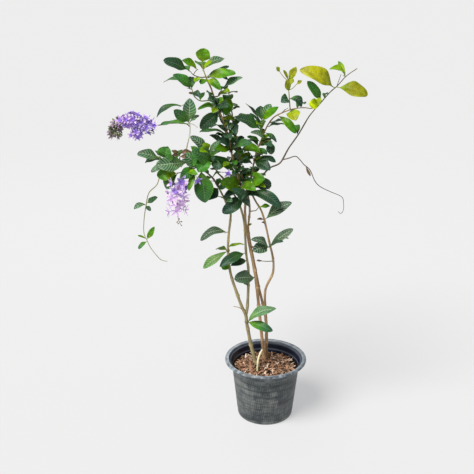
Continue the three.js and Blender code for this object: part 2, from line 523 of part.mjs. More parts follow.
// A leaf: a three-sided petiole and one folded, arched and waved blade, triangled alike on both faces.
function leaf(base, reach, width, turn, arch) {
  const length = reach.length();
  const { along, up, across } = leafFrame(reach, turn);
  let rows = PLAIN_ROWS;
  if (length > LONG_LEAF) rows = LONG_ROWS;
  if (length < SHORT_LEAF) rows = SHORT_ROWS;
  const positions = [];
  const faces = [];
  const put = (share, sideways, upwards) => {
    const blade = Math.max(0, (share - PETIOLE_SHARE) / (1 - PETIOLE_SHARE));
    const point = base.clone()
      .addScaledVector(along, length * share)
      .addScaledVector(up, arch * length * 4 * blade * (1 - blade) + upwards)
      .addScaledVector(across, sideways);
    positions.push(point.x, point.y, point.z);
    return positions.length / 3 - 1;
  };
  const petiole = (share, size) => [put(share, size, 0.4), put(share, -size, 0.4), put(share, 0, -1)];
  const root = petiole(0, PETIOLE / 2);
  const neck = petiole(PETIOLE_SHARE, PETIOLE);
  faces.push(root[0], root[2], root[1]);
  for (let i = 0; i < 3; i += 1) {
    const next = (i + 1) % 3;
    faces.push(root[i], root[next], neck[i], root[next], neck[next], neck[i]);
  }
  const loops = rows.map(([share, half], row) => {
    const wide = half * width;
    const wave = WAVE * width * (row % 2 ? -1 : 1);
    const lift = FOLD * wide;
    const edge = [[wide, lift + wave], [0, 0], [-wide, lift - wave]];
    const over = edge.map(([sideways, height]) => put(share, sideways, height + BLADE / 2));
    const under = edge.reverse().map(([sideways, height]) => put(share, sideways, height - BLADE / 2));
    return [...over, ...under];
  });
  const [right, left, keel] = neck;
  const [rightTop, midTop, leftTop, leftLow, midLow, rightLow] = loops[0];
  faces.push(right, midTop, rightTop, right, left, midTop, left, leftTop, midTop, left, leftLow, leftTop);
  faces.push(left, keel, leftLow, keel, midLow, leftLow, keel, rightLow, midLow, keel, right, rightLow);
  faces.push(right, rightTop, rightLow);
  for (let row = 0; row < loops.length - 1; row += 1) {
    for (let i = 0; i < 6; i += 1) {
      const a = loops[row][i];
      const b = loops[row][(i + 1) % 6];
      const c = loops[row + 1][(i + 1) % 6];
      const d = loops[row + 1][i];
      if (i < 3) faces.push(a, b, d, b, c, d);
      else faces.push(a, b, c, a, c, d);
    }
  }
  const [rt, mt, lt, ll, ml, rl] = loops[loops.length - 1];
  const tipTop = put(1, 0, BLADE / 3);
  const tipLow = put(1, 0, -BLADE / 3);
  faces.push(rt, mt, tipTop, mt, lt, tipTop, lt, ll, tipTop, ll, tipLow, tipTop);
  faces.push(ll, ml, tipLow, ml, rl, tipLow, rl, rt, tipLow, rt, tipTop, tipLow);
  return solidOf(positions, faces);
}

// A flower: five narrow lobes, thick at the throat, on a thin stalk from the raceme.
function flower(root, out, radius, spin) {
  const facing = out.clone().normalize();
  const { up, across } = leafFrame(facing, 30);
  const centre = root.clone().add(out);
  const front = centre.clone().addScaledVector(facing, THROAT_FRONT);
  const back = centre.clone().addScaledVector(facing, -THROAT_BACK);
  const positions = [...front.toArray(), ...back.toArray()];
  const faces = [];
  const corners = 2 * PETALS;
  for (let i = 0; i < corners; i += 1) {
    const angle = spin + (2 * Math.PI * i) / corners;
    const reach = radius * (i % 2 ? NOTCH : 1);
    const point = centre.clone()
      .addScaledVector(across, reach * Math.cos(angle))
      .addScaledVector(up, reach * Math.sin(angle))
      .addScaledVector(facing, i % 2 ? 0 : CUPPING * radius);
    positions.push(...point.toArray());
    const a = 2 + i;
    const b = 2 + ((i + 1) % corners);
    faces.push(0, a, b, 1, b, a);
  }
  const star = solidOf(positions, faces);
  const stalk = stem(curveThrough([root.toArray(), centre.toArray()]), STALK, STALK, 3, 1);
  return star.add(stalk);
}

// A closed bud: a six-faced bead on the raceme's tip.
function bud(root, out) {
  const { up, across } = leafFrame(out, 20);
  const middle = root.clone().addScaledVector(out, 0.7);
  const positions = [...root.toArray(), ...root.clone().add(out).toArray()];
  for (let i = 0; i < 3; i += 1) {
    const angle = (2 * Math.PI * i) / 3;
    const point = middle.clone()
      .addScaledVector(across, BUD_RADIUS * Math.cos(angle))
      .addScaledVector(up, BUD_RADIUS * Math.sin(angle));
    positions.push(...point.toArray());
  }
  return solidOf(positions, [0, 3, 2, 0, 4, 3, 0, 2, 4, 1, 2, 3, 1, 3, 4, 1, 4, 2]);
}

// A place on the centre line of a stem's solid, which runs straight from each station to the next.
function placeOn(part, share) {
  const station = Math.min(part.steps - 1, Math.floor(share * part.steps));
  const low = part.curve.getPointAt(station / part.steps);
  const high = part.curve.getPointAt((station + 1) / part.steps);
  const along = high.clone().sub(low);
  const place = low.clone().addScaledVector(along, share * part.steps - station);
  return { place, along: along.normalize(), station };
}

// A swollen joint round a stem, in line with the straight stretch of its solid there.
function joint(on, share) {
  const frames = on.curve.computeFrenetFrames(on.steps, false);
  const { place, along, station } = placeOn(on, share);
  const radius = on.rootRadius + (on.tipRadius - on.rootRadius) * share + CLEAR + COLLAR_WALL;
  const positions = [];
  const faces = [];
  for (const end of [-1, 1]) {
    for (let j = 0; j < on.sides; j += 1) {
      const angle = (2 * Math.PI * j) / on.sides;
      const point = place.clone()
        .addScaledVector(along, (end * COLLAR_LENGTH) / 2)
        .addScaledVector(frames.normals[station], radius * Math.cos(angle))
        .addScaledVector(frames.binormals[station], radius * Math.sin(angle));
      positions.push(...point.toArray());
    }
  }
  for (let j = 0; j < on.sides; j += 1) {
    const next = (j + 1) % on.sides;
    faces.push(j, next, j + on.sides, next, next + on.sides, j + on.sides);
    if (j > 0 && next > 0) faces.push(0, next, j, on.sides, on.sides + j, on.sides + next);
  }
  return solidOf(positions, faces);
}

function stepsFor(curve, step) {
  return Math.max(2, Math.round(curve.getLength() / step));
}

// Every stem of the plant, in the order of growth: its curve, its size and the nodes it belongs to.
const stems = [];
for (const [node, parent, rootRadius, tipRadius, points] of CANES) {
  stems.push({ node, parent, rootRadius, tipRadius, points, sides: CANE_SIDES, step: CANE_STEP });
}
for (const [node, parent, rootRadius, tipRadius, points, leaves] of SHOOTS) {
  stems.push({ node, parent, rootRadius, tipRadius, points, leaves, sides: SHOOT_SIDES, step: SHOOT_STEP });
}
for (const [node, parent, rootRadius, tipRadius, points, ...blooms] of RACEMES) {
  stems.push({ node, parent, rootRadius, tipRadius, points, blooms, sides: SHOOT_SIDES, step: SHOOT_STEP });
}

// The nearest place on any stem of a node, so that a root sits on the centre line that carries it.
function nearestOn(node, point) {
  let best = { distance: Infinity };
  for (const candidate of stems) {
    if (candidate.node !== node || !candidate.curve) continue;
    for (let i = 0; i <= 400; i += 1) {
      const share = i / 400;
      const { place } = placeOn(candidate, share);
      const distance = place.distanceTo(point);
      if (distance < best.distance) best = { distance, place, share, on: candidate };
    }
  }
  return best;
}

for (const part of stems) {
  const points = part.points.map((point) => [...point]);
  if (part.parent) {
    part.seat = nearestOn(part.parent, vector(points[0]));
    points[0] = part.seat.place.toArray();
  }
  if (points.length > 1) {
    part.curve = curveThrough(points);
    part.steps = stepsFor(part.curve, part.step);
    const { curve, rootRadius, tipRadius, sides, steps } = part;
    part.solid = stem(curve, rootRadius, tipRadius, sides, steps);
    part.cutter = stem(curve, rootRadius + CLEAR, tipRadius + CLEAR, sides, steps, CLEAR);
  } else if (part.leaves.length > 1) {
    part.solid = joint(part.seat.on, part.seat.share);
  }
}

function leavesOf(part) {
  return part.leaves.map(([share, reach, width, turn, arch]) => {
    if (!part.curve) return leaf(part.seat.place.clone(), vector(reach), width, turn, arch);
    const deepest = 1 - TIP_SINK / part.curve.getLength();
    const base = placeOn(part, Math.min(share, deepest)).place;
    return leaf(base, vector(reach), width, turn, arch);
  });
}

// Flowers stand all round the stalk, a golden angle apart, and the last ones are closed buds.
function flowersOf(part, draw) {
  const [begin, end, count, standing, radius, buds] = part.blooms;
  const solids = [];
  const golden = Math.PI * (3 - Math.sqrt(5));
  for (let i = 0; i < count + buds; i += 1) {
    const open = i < count;
    const share = open
      ? begin + ((end - begin) * (i + 0.5)) / count
      : BUDS_BEGIN + ((1 - BUDS_BEGIN) * (i - count)) / buds;
    const { place: root, along: tangent } = placeOn(part, share);
    const { up, across } = leafFrame(tangent, 60);
    const angle = golden * i + 0.5 * draw();
    const out = up.clone().multiplyScalar(Math.cos(angle))
      .addScaledVector(across, Math.sin(angle))
      .addScaledVector(tangent, 0.3);
    if (count === 1) {
      out.copy(tangent);
      root.addScaledVector(tangent, -TIP_SINK);
    }
    out.normalize().multiplyScalar(open ? standing * (0.9 + 0.25 * draw()) : BUD_LENGTH);
    solids.push(open ? flower(root, out, radius * (0.9 + 0.2 * draw()), 2 * draw()) : bud(root, out));
  }
  return solids;
}

// Cuts a solid clear of the stems of other nodes.
function clearOf(solid, others) {
  const box = solid.boundingBox();
  return others
    .filter((other) => other.cutter && boxesMeet(box, other.cutter.boundingBox()))
    .reduce((rest, other) => rest.subtract(other.cutter), solid);
}

// Radius of the pot's tapered inner wall at a height.
function innerRadius(height) {
  const share = (height - BASE_ROUNDING) / (POT_HEIGHT - COLLAR_DEPTH - 3 - BASE_ROUNDING);
  return BASE_RADIUS + (WALL_TOP_RADIUS - BASE_RADIUS) * share - WALL;
}

// Pot: one moulded shell with a rolled rim, a stepped collar and drain holes round the middle of its base.
function potSolid() {
  const rim = POT_HEIGHT - RIM_DEPTH;
  const collar = POT_HEIGHT - COLLAR_DEPTH;
  const ledge = POT_HEIGHT - LEDGE;
  const profile = [
    [0, 0],
    [BASE_RADIUS - BASE_ROUNDING, 0],
    [BASE_RADIUS, BASE_ROUNDING],
    [WALL_TOP_RADIUS, collar - 3],
    [COLLAR_RADIUS, collar],
    [COLLAR_RADIUS + COLLAR_FLARE, rim - RIM_SLOPE],
    [RIM_RADIUS - 1, rim],
    [RIM_RADIUS, POT_HEIGHT - RIM_ROUNDING],
    [RIM_RADIUS - RIM_ROUNDING, POT_HEIGHT],
    [MOUTH_RADIUS + 2, POT_HEIGHT],
    [MOUTH_RADIUS, ledge + 1],
    [COLLAR_RADIUS + 1.5, ledge - 1],
    [COLLAR_RADIUS - WALL, collar + 6],
    [innerRadius(collar - 2), collar - 2],
    [innerRadius(FLOOR + WALL), FLOOR + WALL],
    [innerRadius(FLOOR + WALL) - WALL, FLOOR],
    [0, FLOOR],
  ];
  const lathe = new THREE.LatheGeometry(profile.map(([x, y]) => new THREE.Vector2(x, y)), POT_SIDES);
  lathe.rotateX(Math.PI / 2);
  let shell = solidFrom(lathe);
  for (let i = 0; i < DRAIN_COUNT; i += 1) {
    const angle = (2 * Math.PI * (i + 0.5)) / DRAIN_COUNT;
    const drain = new THREE.CylinderGeometry(DRAIN_RADIUS, DRAIN_RADIUS, 4 * FLOOR, 8);
    drain.rotateX(Math.PI / 2);
    drain.translate(DRAIN_CIRCLE * Math.cos(angle), DRAIN_CIRCLE * Math.sin(angle), FLOOR / 2);
    shell = shell.subtract(solidFrom(drain));
  }
  return shell;
}

// Potting mix: it fills the pot to below the collar, heaped and rough on top, with bark chips in it.
function mixSolid(draw) {
  const inside = (height) => innerRadius(height) * Math.cos(Math.PI / POT_SIDES) - CLEAR;
  const edge = inside(MIX_EDGE);
  const height = (radius) => MIX_EDGE + MIX_HEAP * Math.cos((Math.PI * radius) / (2 * edge)) ** 2;
  const positions = [0, 0, height(0)];
  const faces = [];
  const rings = MIX_RINGS.map((radius) => [radius, height(radius), MIX_ROUGHNESS]);
  rings.push([edge, MIX_EDGE, 0]);
  rings.push([inside(FLOOR + WALL), FLOOR + WALL + CLEAR, 0]);
  rings.push([inside(FLOOR + WALL) - WALL, FLOOR + CLEAR, 0]);
  rings.forEach(([radius, level, rough]) => {
    for (let j = 0; j < MIX_SIDES; j += 1) {
      const angle = (2 * Math.PI * j) / MIX_SIDES;
      positions.push(radius * Math.cos(angle), radius * Math.sin(angle), level + rough * (2 * draw() - 1));
    }
  });
  const bottom = positions.length / 3;
  positions.push(0, 0, FLOOR + CLEAR);
  for (let j = 0; j < MIX_SIDES; j += 1) {
    const next = (j + 1) % MIX_SIDES;
    faces.push(0, 1 + j, 1 + next);
    for (let i = 0; i < rings.length - 1; i += 1) {
      const a = 1 + i * MIX_SIDES + j;
      const b = 1 + i * MIX_SIDES + next;
      faces.push(a, a + MIX_SIDES, b, b, a + MIX_SIDES, b + MIX_SIDES);
    }
    const lowest = 1 + (rings.length - 1) * MIX_SIDES;
    faces.push(bottom, lowest + next, lowest + j);
  }
  let mix = solidOf(positions, faces);
  for (let i = 0; i < CHIP_COUNT; i += 1) {
    const angle = 2 * Math.PI * draw();
    const radius = (edge - CHIP_MARGIN) * Math.sqrt(draw());
    const sides = CHIP_SMALLEST.map((side, axis) => side + CHIP_SPREAD[axis] * draw());
    const chip = new THREE.BoxGeometry(...sides);
    chip.rotateX(CHIP_LEAN * (2 * draw() - 1));
    chip.rotateY(CHIP_LEAN * (2 * draw() - 1));
    chip.rotateZ(Math.PI * draw());
    chip.translate(radius * Math.cos(angle), radius * Math.sin(angle), height(radius) + 0.6);
    mix = mix.add(solidFrom(chip));
  }
  return mix;
}

const vine = new THREE.Group();
vine.name = 'potted_sandpaper_vine';

addPiece(vine, 'pot', potSolid(), COLOURS.pot, 0.5);
const canes = stems.filter((part) => !part.leaves && !part.blooms);
const mix = clearOf(mixSolid(drawing(7)), canes);
addPiece(vine, 'potting_mix', largest(mix), COLOURS.mix, 0.95);

const names = [...new Set(stems.map((part) => part.node))];
names.forEach((name, place) => {
  const own = stems.filter((part) => part.node === name);
  const others = stems.filter((part) => part.node !== name);
  const before = others.filter((part) => names.indexOf(part.node) < place);
  const pieces = own.filter((part) => part.solid).map((part) => clearOf(part.solid, before));
  const draw = drawing(100 + place);
  const grown = own.flatMap((part) => {
    if (part.leaves) return leavesOf(part);
    if (part.blooms) return flowersOf(part, draw);
    return [];
  });
  pieces.push(...grown.map((piece) => clearOf(piece, others)));
  let colour = 'cane';
  if (own[0].leaves && own[0].leaves.length > 0) colour = own[0].leaves[0][5];
  if (own[0].blooms) colour = 'flower';
  if (DRY_NODES.includes(name)) colour = 'dry';
  addPiece(vine, name, largest(joined(pieces)), COLOURS[colour], 0.6);
});

export default vine;
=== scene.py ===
"""Potted sandpaper vine: the finish of every surface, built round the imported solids.

Sizes in the tables are millimetres, as in the part's own source. Every mesh is made in metres.
"""
import math

import bpy
import numpy as np
from bpy.props import FloatProperty, FloatVectorProperty, IntProperty, PointerProperty
from bpy.types import Operator, Panel, PropertyGroup
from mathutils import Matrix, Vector


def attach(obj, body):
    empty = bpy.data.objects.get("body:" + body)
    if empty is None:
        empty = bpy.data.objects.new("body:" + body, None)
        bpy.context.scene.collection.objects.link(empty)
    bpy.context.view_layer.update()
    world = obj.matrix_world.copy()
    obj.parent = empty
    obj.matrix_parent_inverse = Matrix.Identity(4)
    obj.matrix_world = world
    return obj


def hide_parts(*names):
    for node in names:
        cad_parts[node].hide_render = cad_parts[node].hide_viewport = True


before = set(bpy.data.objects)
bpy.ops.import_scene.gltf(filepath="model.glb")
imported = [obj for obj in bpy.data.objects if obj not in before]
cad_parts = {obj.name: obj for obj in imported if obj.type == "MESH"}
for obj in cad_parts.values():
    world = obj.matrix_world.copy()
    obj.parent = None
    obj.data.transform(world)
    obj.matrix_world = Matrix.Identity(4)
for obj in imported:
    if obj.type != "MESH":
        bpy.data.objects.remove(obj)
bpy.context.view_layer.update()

bl_info = {
    "name": "Potted sandpaper vine",
    "version": (1, 0, 0),
    "blender": (4, 5, 0),
    "location": "View3D > Sidebar > Vine",
    "description": "Builds the looks of a potted climbing vine round its solids",
    "category": "Object",
}

MM = 0.001

# Woody canes: node, what it grows from, radius at the root and at the tip, points of the centre line.
CANES = [
  ["cane_left", None, 6.5, 2.6, [[-23, -6, 96], [-29, -8, 170], [-46, -11, 241], [-53, -12, 277],
    [-60, -14, 320], [-63, -15, 349], [-66, -17, 362], [-79, -20, 392], [-95, -25, 444], [-112, -30, 506],
    [-119, -30, 568], [-117, -26, 628], [-111, -18, 692], [-121, -14, 719], [-134, -14, 749],
    [-148, -18, 778]]],
  ["cane_left", "cane_left", 4.6, 2.4, [[-65, -17, 356], [-59, -12, 387], [-57, 0, 440], [-57, 6, 505],
    [-64, 2, 561], [-67, -2, 610], [-71, -4, 665], [-80, -2, 703], [-93, 2, 733], [-110, 4, 761],
    [-129, -2, 794], [-149, -10, 818]]],
  ["cane_front", None, 5.6, 2.3, [[-2, 24, 92], [-3, 24, 167], [-7, 24, 211], [-11, 24, 247],
    [-17, 23, 312], [-23, 22, 366], [-28, 21, 419], [-34, 19, 471], [-44, 17, 529], [-55, 15, 587],
    [-65, 12, 647], [-68, 11, 686], [-67, 9, 718], [-71, 6, 750], [-85, 6, 788], [-94, 8, 824],
    [-106, 10, 864], [-114, 10, 900], [-123, 8, 942], [-135, 4, 979], [-148, 0, 1012],
    [-157, -4, 1039], [-166, -7, 1067], [-176, -9, 1089]]],
  ["cane_back", None, 5.0, 1.9, [[0, 56, 98], [4, 56, 149], [3, 54, 202], [3, 48, 264], [1, 44, 309],
    [-7, 39, 358], [-18, 35, 405], [-27, 32, 452], [-39, 29, 518], [-50, 27, 575], [-57, 24, 626],
    [-56, 12, 662], [-54, -3, 692], [-55, -10, 719], [-60, -5, 752], [-70, 17, 782], [-84, 25, 817],
    [-85, 27, 853], [-88, 28, 880], [-93, 30, 910], [-99, 30, 940], [-105, 30, 976], [-109, 29, 1003],
    [-113, 28, 1028]]],
  ["cane_right", None, 4.8, 2.0, [[8, 40, 96], [6, 39, 156], [5, 38, 208], [4, 34, 262], [2, 28, 310],
    [-1, 24, 354], [-4, 18, 396], [-3, 14, 429], [5, 12, 454], [13, 11, 471], [20, 9, 492], [21, 8, 523],
    [16, 6, 554], [8, 3, 588], [-1, -2, 632], [-10, -6, 671], [-21, -8, 703], [-36, -9, 729],
    [-49, -2, 756], [-52, 8, 787], [-46, 14, 820], [-40, 16, 850], [-33, 16, 880], [-22, 14, 908],
    [-10, 10, 940]]],
  ["old_stub", None, 4.2, 3.0, [[-27, -42, 118], [-27, -38, 168], [-26, -34, 190], [-24, -28, 206],
    [-19, -21, 220], [-11, -14, 234]]],
]

# Shoots: node, what it grows from, radius at the root and at the tip, points of the centre line,
# leaves. A shoot with a single point is a pair or whorl of leaves on a swollen joint of its carrier.
# Leaf: share of the way along, reach to its tip, width, turn of its upper face from the sky to the
# front in degrees, arch as a share of its length, tone.
SHOOTS = [
  ["top_spray", "cane_front", 2.4, 1.3, [[-176, -9, 1089], [-183, -11, 1108], [-188, -12, 1125]], [
    [1.0, [60, 20, 25], 26, 40, 0.12, "pale"],
    [1.0, [25, -30, 25], 16, 50, 0.05, "lime"],
    [0.15, [-16, -38, -8], 22, 30, 0.05, "fresh"],
    [0.3, [84, -20, 13], 36, 38, 0.07, "fresh"],
    [0.3, [65, 45, 23], 20, 20, 0.02, "old"],
    [0.15, [40, -35, -24], 25, 50, 0.16, "fresh"],
    [0.7, [-25, 70, 15], 30, -20, 0.14, "mid"],
    [0.25, [62, 8, -6], 30, 24, 0.14, "old"]]],
  ["top_spray", "top_spray", 1.1, 0.9, [[-188, -12, 1125], [-189, -13, 1133], [-191, -14, 1142]], [
    [1.0, [8, -12, 41], 42, 78, 0.08, "fresh"]]],
  ["top_left_sprig", "top_spray", 1.7, 1.1, [[-181, -10, 1099], [-196, -14, 1099], [-214, -18, 1106],
    [-223, -20, 1116], [-229, -21, 1122]], [
    [1.0, [-67, -30, 32], 35, 52, 0.10, "old"],
    [0.4, [-4, -36, -8], 19, 40, 0.05, "lime"],
    [0.9, [-30, 65, -5], 30, -20, 0.15, "mid"]]],
  ["top_left_sprig", "top_left_sprig", 1.2, 1.0, [[-214, -18, 1106], [-209, -19, 1116],
    [-201, -20, 1123]], [
    [1.0, [-43, -12, 27], 27, 38, 0.14, "fresh"]]],
  ["upper_left_spray", "cane_front", 2.1, 1.2, [[-159, -3, 1030], [-176, -14, 1033], [-197, -26, 1035],
    [-213, -32, 1050], [-219, -34, 1071]], [
    [1.0, [-50, -25, 45], 31, 48, 0.14, "mid"],
    [1.0, [-5, 30, 30], 24, 60, 0.08, "old"],
    [0.98, [-80, 10, 18], 24, 8, 0.22, "mid"],
    [0.9, [22, -32, -10], 20, 52, 0.18, "old"],
    [0.7, [-17, -20, 16], 15, 30, 0.10, "dry"],
    [0.5, [-5, 55, 10], 26, -20, 0.15, "mid"],
    [0.2, [-5, -35, 30], 17, 40, 0.25, "mid"]]],
  ["upper_right_sprig", "cane_front", 2.0, 1.2, [[-157, -4, 1039], [-142, -6, 1047], [-136, -8, 1067]], [
    [1.0, [60, -20, 35], 27, 34, 0.10, "pale"],
    [0.75, [25, -40, 5], 20, 40, 0.10, "lime"],
    [0.95, [10, 54, -12], 28, -20, 0.14, "mid"]]],
  ["second_shoot_tip", "cane_back", 2.0, 1.2, [[-113, 28, 1028], [-116, 27, 1046], [-117, 27, 1059]], [
    [0.6, [25, -40, 10], 16, 4, 0.06, "dry"],
    [0.6, [-30, -25, 0], 18, 24, 0.10, "lime"],
    [0.35, [-10, -35, -50], 38, 66, 0.12, "fresh"],
    [0.4, [-4, 60, -38], 32, -14, 0.16, "mid"]]],
  ["leader_pair_upper", "cane_front", 0, 0, [[-148, 0, 1014]], [
    [0, [-25, -45, 30], 30, 50, 0.10, "pale"],
    [0, [0, -50, 33], 16, 55, 0.06, "pale"],
    [0, [-10, -50, -10], 20, 40, 0.06, "lime"],
    [0, [30, -45, 4], 34, 44, 0.14, "old"]]],
  ["leader_pair_middle", "cane_front", 0, 0, [[-141, 2, 994]], [
    [0, [-62, -24, 14], 30, 18, 0.22, "fresh"],
    [0, [-55, -55, -35], 38, 70, 0.12, "old"],
    [0, [-10, 75, 5], 34, -16, 0.18, "mid"]]],
  ["leader_pair_lower", "cane_front", 0, 0, [[-121, 8, 931]], [
    [0, [-80, -25, 10], 26, 10, 0.10, "mid"],
    [0, [-50, 70, 0], 34, -14, 0.18, "old"],
    [0, [8, -62, 0], 28, 52, 0.08, "old"]]],
  ["second_shoot_pair", "cane_back", 0, 0, [[-102, 30, 960]], [
    [0, [8, -58, -24], 24, 60, 0.14, "old"],
    [0, [-15, -55, -10], 16, 50, 0.10, "pale"],
    [0, [60, 45, 5], 34, -14, 0.18, "mid"]]],
  ["right_crown_spray", "cane_right", 2.3, 1.3, [[-17, 12, 922], [-20, 8, 946], [-20, 6, 965],
    [-19, 5, 977]], [
    [0.4, [-76, -30, 42], 38, 42, 0.14, "old"],
    [0.75, [-47, 15, 55], 24, -4, 0.03, "old"],
    [0.85, [-5, 25, 40], 30, 50, 0.10, "old"],
    [0.85, [45, -40, 50], 23, 55, 0.08, "fresh"],
    [1.0, [25, 20, 40], 26, 50, 0.16, "pale"],
    [0.5, [-15, -45, 21], 22, 40, 0.10, "lime"],
    [0.6, [-35, -10, 40], 10, 34, 0.10, "old"],
    [0.35, [-10, 85, 5], 32, -16, 0.16, "mid"]]],
  ["arching_branch", "cane_right", 2.3, 1.3, [[-10, 10, 940], [-2, 4, 959], [15, -4, 983], [37, -12, 997],
    [59, -18, 1007], [82, -22, 1013], [102, -22, 1014], [118, -17, 1011], [132, -12, 1012]], [
    [0.16, [38, -22, 11], 24, 6, 0.05, "old"],
    [0.08, [52, 22, 1], 26, 4, 0.07, "old"],
    [0.36, [52, -30, -47], 24, 58, 0.12, "fresh"],
    [0.60, [10, -42, -22], 40, 60, 0.12, "gold"],
    [0.44, [15, -30, 20], 10, 30, 0.04, "dry"],
    [0.68, [30, 60, 0], 26, -20, 0.14, "mid"]]],
  ["upright_young_shoot", "arching_branch", 1.8, 1.0, [[59, -18, 1007], [58, -16, 1026], [56, -15, 1049],
    [54, -14, 1072], [53, -14, 1093]], [
    [0.3, [-26, -25, 2], 32, 50, 0.26, "old"],
    [0.4, [35, -20, -22], 28, 36, 0.34, "old"],
    [0.6, [-10, -20, 35], 18, 62, 0.06, "gold"],
    [0.97, [20, -15, 40], 21, 62, 0.06, "gold"],
    [1.0, [-15, -10, 30], 9, 50, 0.03, "gold"],
    [0.75, [10, 35, 20], 20, 40, 0.06, "gold"]]],
  ["upright_young_shoot", "upright_young_shoot", 1.1, 0.9, [[53, -14, 1089], [39, -20, 1101],
    [27, -24, 1117]], [
    [0.97, [-10, -5, 15], 12, 50, 0.05, "gold"]]],
  ["upright_young_shoot", "upright_young_shoot", 1.1, 0.9, [[55, -14, 1061], [66, -18, 1069],
    [77, -20, 1082]], [
    [0.95, [15, -5, 10], 13, 40, 0.06, "gold"]]],
  ["runner_right", "cane_right", 2.8, 1.1, [[-50, 0, 762], [-34, -2, 784], [-14, -2, 810], [4, -4, 831],
    [28, -6, 842], [40, -8, 855], [59, -12, 894], [86, -16, 936], [115, -22, 990], [141, -28, 1024],
    [169, -32, 1059], [189, -35, 1078], [213, -40, 1107], [241, -46, 1129]], [
    [0.83, [-102, -20, 54], 50, 50, 0.20, "gold"],
    [0.84, [86, -16, -21], 44, 54, 0.16, "gold"],
    [0.92, [-50, -30, 25], 24, 34, 0.26, "lime"],
    [0.92, [-20, 20, 40], 15, 50, 0.04, "lime"],
    [0.72, [-45, -20, 60], 28, 54, 0.10, "mid"],
    [0.74, [5, -35, 20], 16, 40, 0.20, "mid"],
    [0.7, [-33, -14, 2], 30, 76, 0.10, "bright"],
    [0.71, [-16, -26, 14], 22, 74, 0.10, "bright"],
    [0.47, [-15, 70, 10], 28, -20, 0.14, "mid"]]],
  ["runner_right", "runner_right", 1.0, 0.7, [[189, -35, 1078], [194, -38, 1098], [198, -40, 1112]], []],
  ["tendril_right", "runner_right", 1.6, 0.7, [[40, -8, 855], [58, -14, 863], [78, -20, 871],
    [90, -24, 863], [103, -27, 848], [119, -30, 835], [127, -32, 820], [136, -34, 800],
    [151, -36, 784], [181, -38, 769], [215, -40, 754], [222, -41, 735], [222, -42, 713],
    [215, -43, 702], [207, -44, 709]], [
    [0.28, [15, -3, -30], 8, 70, 0.02, "dry"]]],
  ["left_branch", "cane_left", 2.9, 1.6, [[-148, -18, 778], [-162, -30, 806], [-185, -40, 831],
    [-208, -48, 846], [-233, -52, 861], [-262, -54, 868], [-290, -56, 868], [-313, -58, 872]], [
    [1.0, [-65, -10, 20], 32, 44, 0.16, "pale"],
    [0.93, [11, -20, 46], 50, 50, 0.20, "mid"],
    [0.97, [-50, 5, -10], 28, 30, 0.20, "pale"],
    [0.62, [-87, -32, 0], 44, 66, 0.12, "pale"],
    [0.80, [-65, -30, -26], 24, 40, 0.10, "pale"],
    [1.0, [-5, -40, 20], 14, 40, 0.05, "lime"],
    [0.45, [-35, -25, 48], 42, 60, 0.12, "pale"],
    [0.40, [12, -34, -91], 56, 68, 0.12, "mid"],
    [0.55, [20, -35, 30], 30, 60, 0.12, "mid"],
    [0.77, [-5, 85, 0], 32, -20, 0.16, "mid"],
    [0.89, [-40, 70, 5], 30, -16, 0.16, "mid"]]],
  ["left_lower_sprig", "left_branch", 2.1, 1.3, [[-208, -48, 846], [-227, -60, 841], [-248, -66, 836],
    [-264, -68, 834]], [
    [1.0, [-60, -5, -5], 38, 72, 0.14, "fresh"],
    [0.96, [-40, 22, -52], 34, 66, 0.12, "mid"],
    [0.12, [-38, -48, -18], 34, 66, 0.12, "mid"],
    [0.5, [30, -40, 0], 18, 50, 0.12, "fresh"]]],
  ["left_upper_spray", "left_branch", 2.3, 1.2, [[-238, -53, 862], [-241, -54, 881], [-234, -56, 914],
    [-226, -58, 946], [-225, -60, 973], [-229, -60, 982]], [
    [0.95, [-80, -15, 0], 30, 8, 0.06, "mid"],
    [1.0, [5, -10, 70], 38, 84, 0.10, "pale"],
    [0.98, [-40, -25, 40], 30, 66, 0.10, "mid"],
    [0.98, [30, -5, 20], 18, 30, 0.10, "pale"],
    [0.96, [-30, 70, 15], 32, -20, 0.14, "mid"]]],
  ["left_upper_spray", "left_upper_spray", 1.1, 0.9, [[-229, -60, 980], [-240, -52, 1006],
    [-244, -40, 1028]], [
    [0.97, [-75, -15, -33], 22, 24, 0.20, "old"]]],
  ["left_upper_spray", "left_upper_spray", 1.1, 0.9, [[-227, -60, 979], [-214, -62, 974],
    [-203, -64, 966]], []],
  ["crown_left_hanging", "cane_left", 2.2, 1.5, [[-149, -10, 818], [-156, -32, 842], [-167, -44, 868],
    [-174, -50, 894]], [
    [0.55, [-57, -47, 48], 45, 60, 0.14, "mid"],
    [0.85, [-32, -42, -38], 44, 72, 0.12, "mid"],
    [0.97, [-50, -15, 50], 30, 45, 0.12, "pale"],
    [0.97, [-15, -20, 30], 24, 50, 0.12, "lime"],
    [0.97, [-25, -40, 15], 22, 50, 0.12, "lime"],
    [0.97, [33, -30, 40], 16, 60, 0.06, "pale"],
    [0.72, [30, 80, 0], 32, -20, 0.14, "mid"],
    [0.67, [-10, 85, 0], 34, -20, 0.14, "mid"]]],
  ["pair_high_crown", "cane_back", 0, 0, [[-87, 28, 878]], [
    [0, [-70, 35, 5], 34, -14, 0.18, "old"],
    [0, [64, -40, 4], 34, 36, 0.17, "fresh"],
    [0, [5, 80, 5], 34, -16, 0.16, "mid"]]],
  ["pair_high_crown_front", "cane_front", 0, 0, [[-109, 10, 882]], [
    [0, [-52, -50, 16], 34, 42, 0.08, "fresh"],
    [0, [-34, -50, 45], 34, 44, 0.12, "old"],
    [0, [-62, -20, 50], 26, 24, 0.10, "pale"],
    [0, [61, -60, 36], 30, 40, 0.14, "mid"]]],
  ["right_crown_low_sprig", "cane_right", 2.0, 1.2, [[-27, 15, 894], [-13, 2, 909], [3, -8, 915],
    [11, -12, 911]], [
    [0.88, [1, -14, -37], 26, 50, 0.14, "old"],
    [0.62, [-47, -25, 31], 26, 30, 0.16, "pale"],
    [0.35, [25, -45, -2], 22, 34, 0.10, "old"],
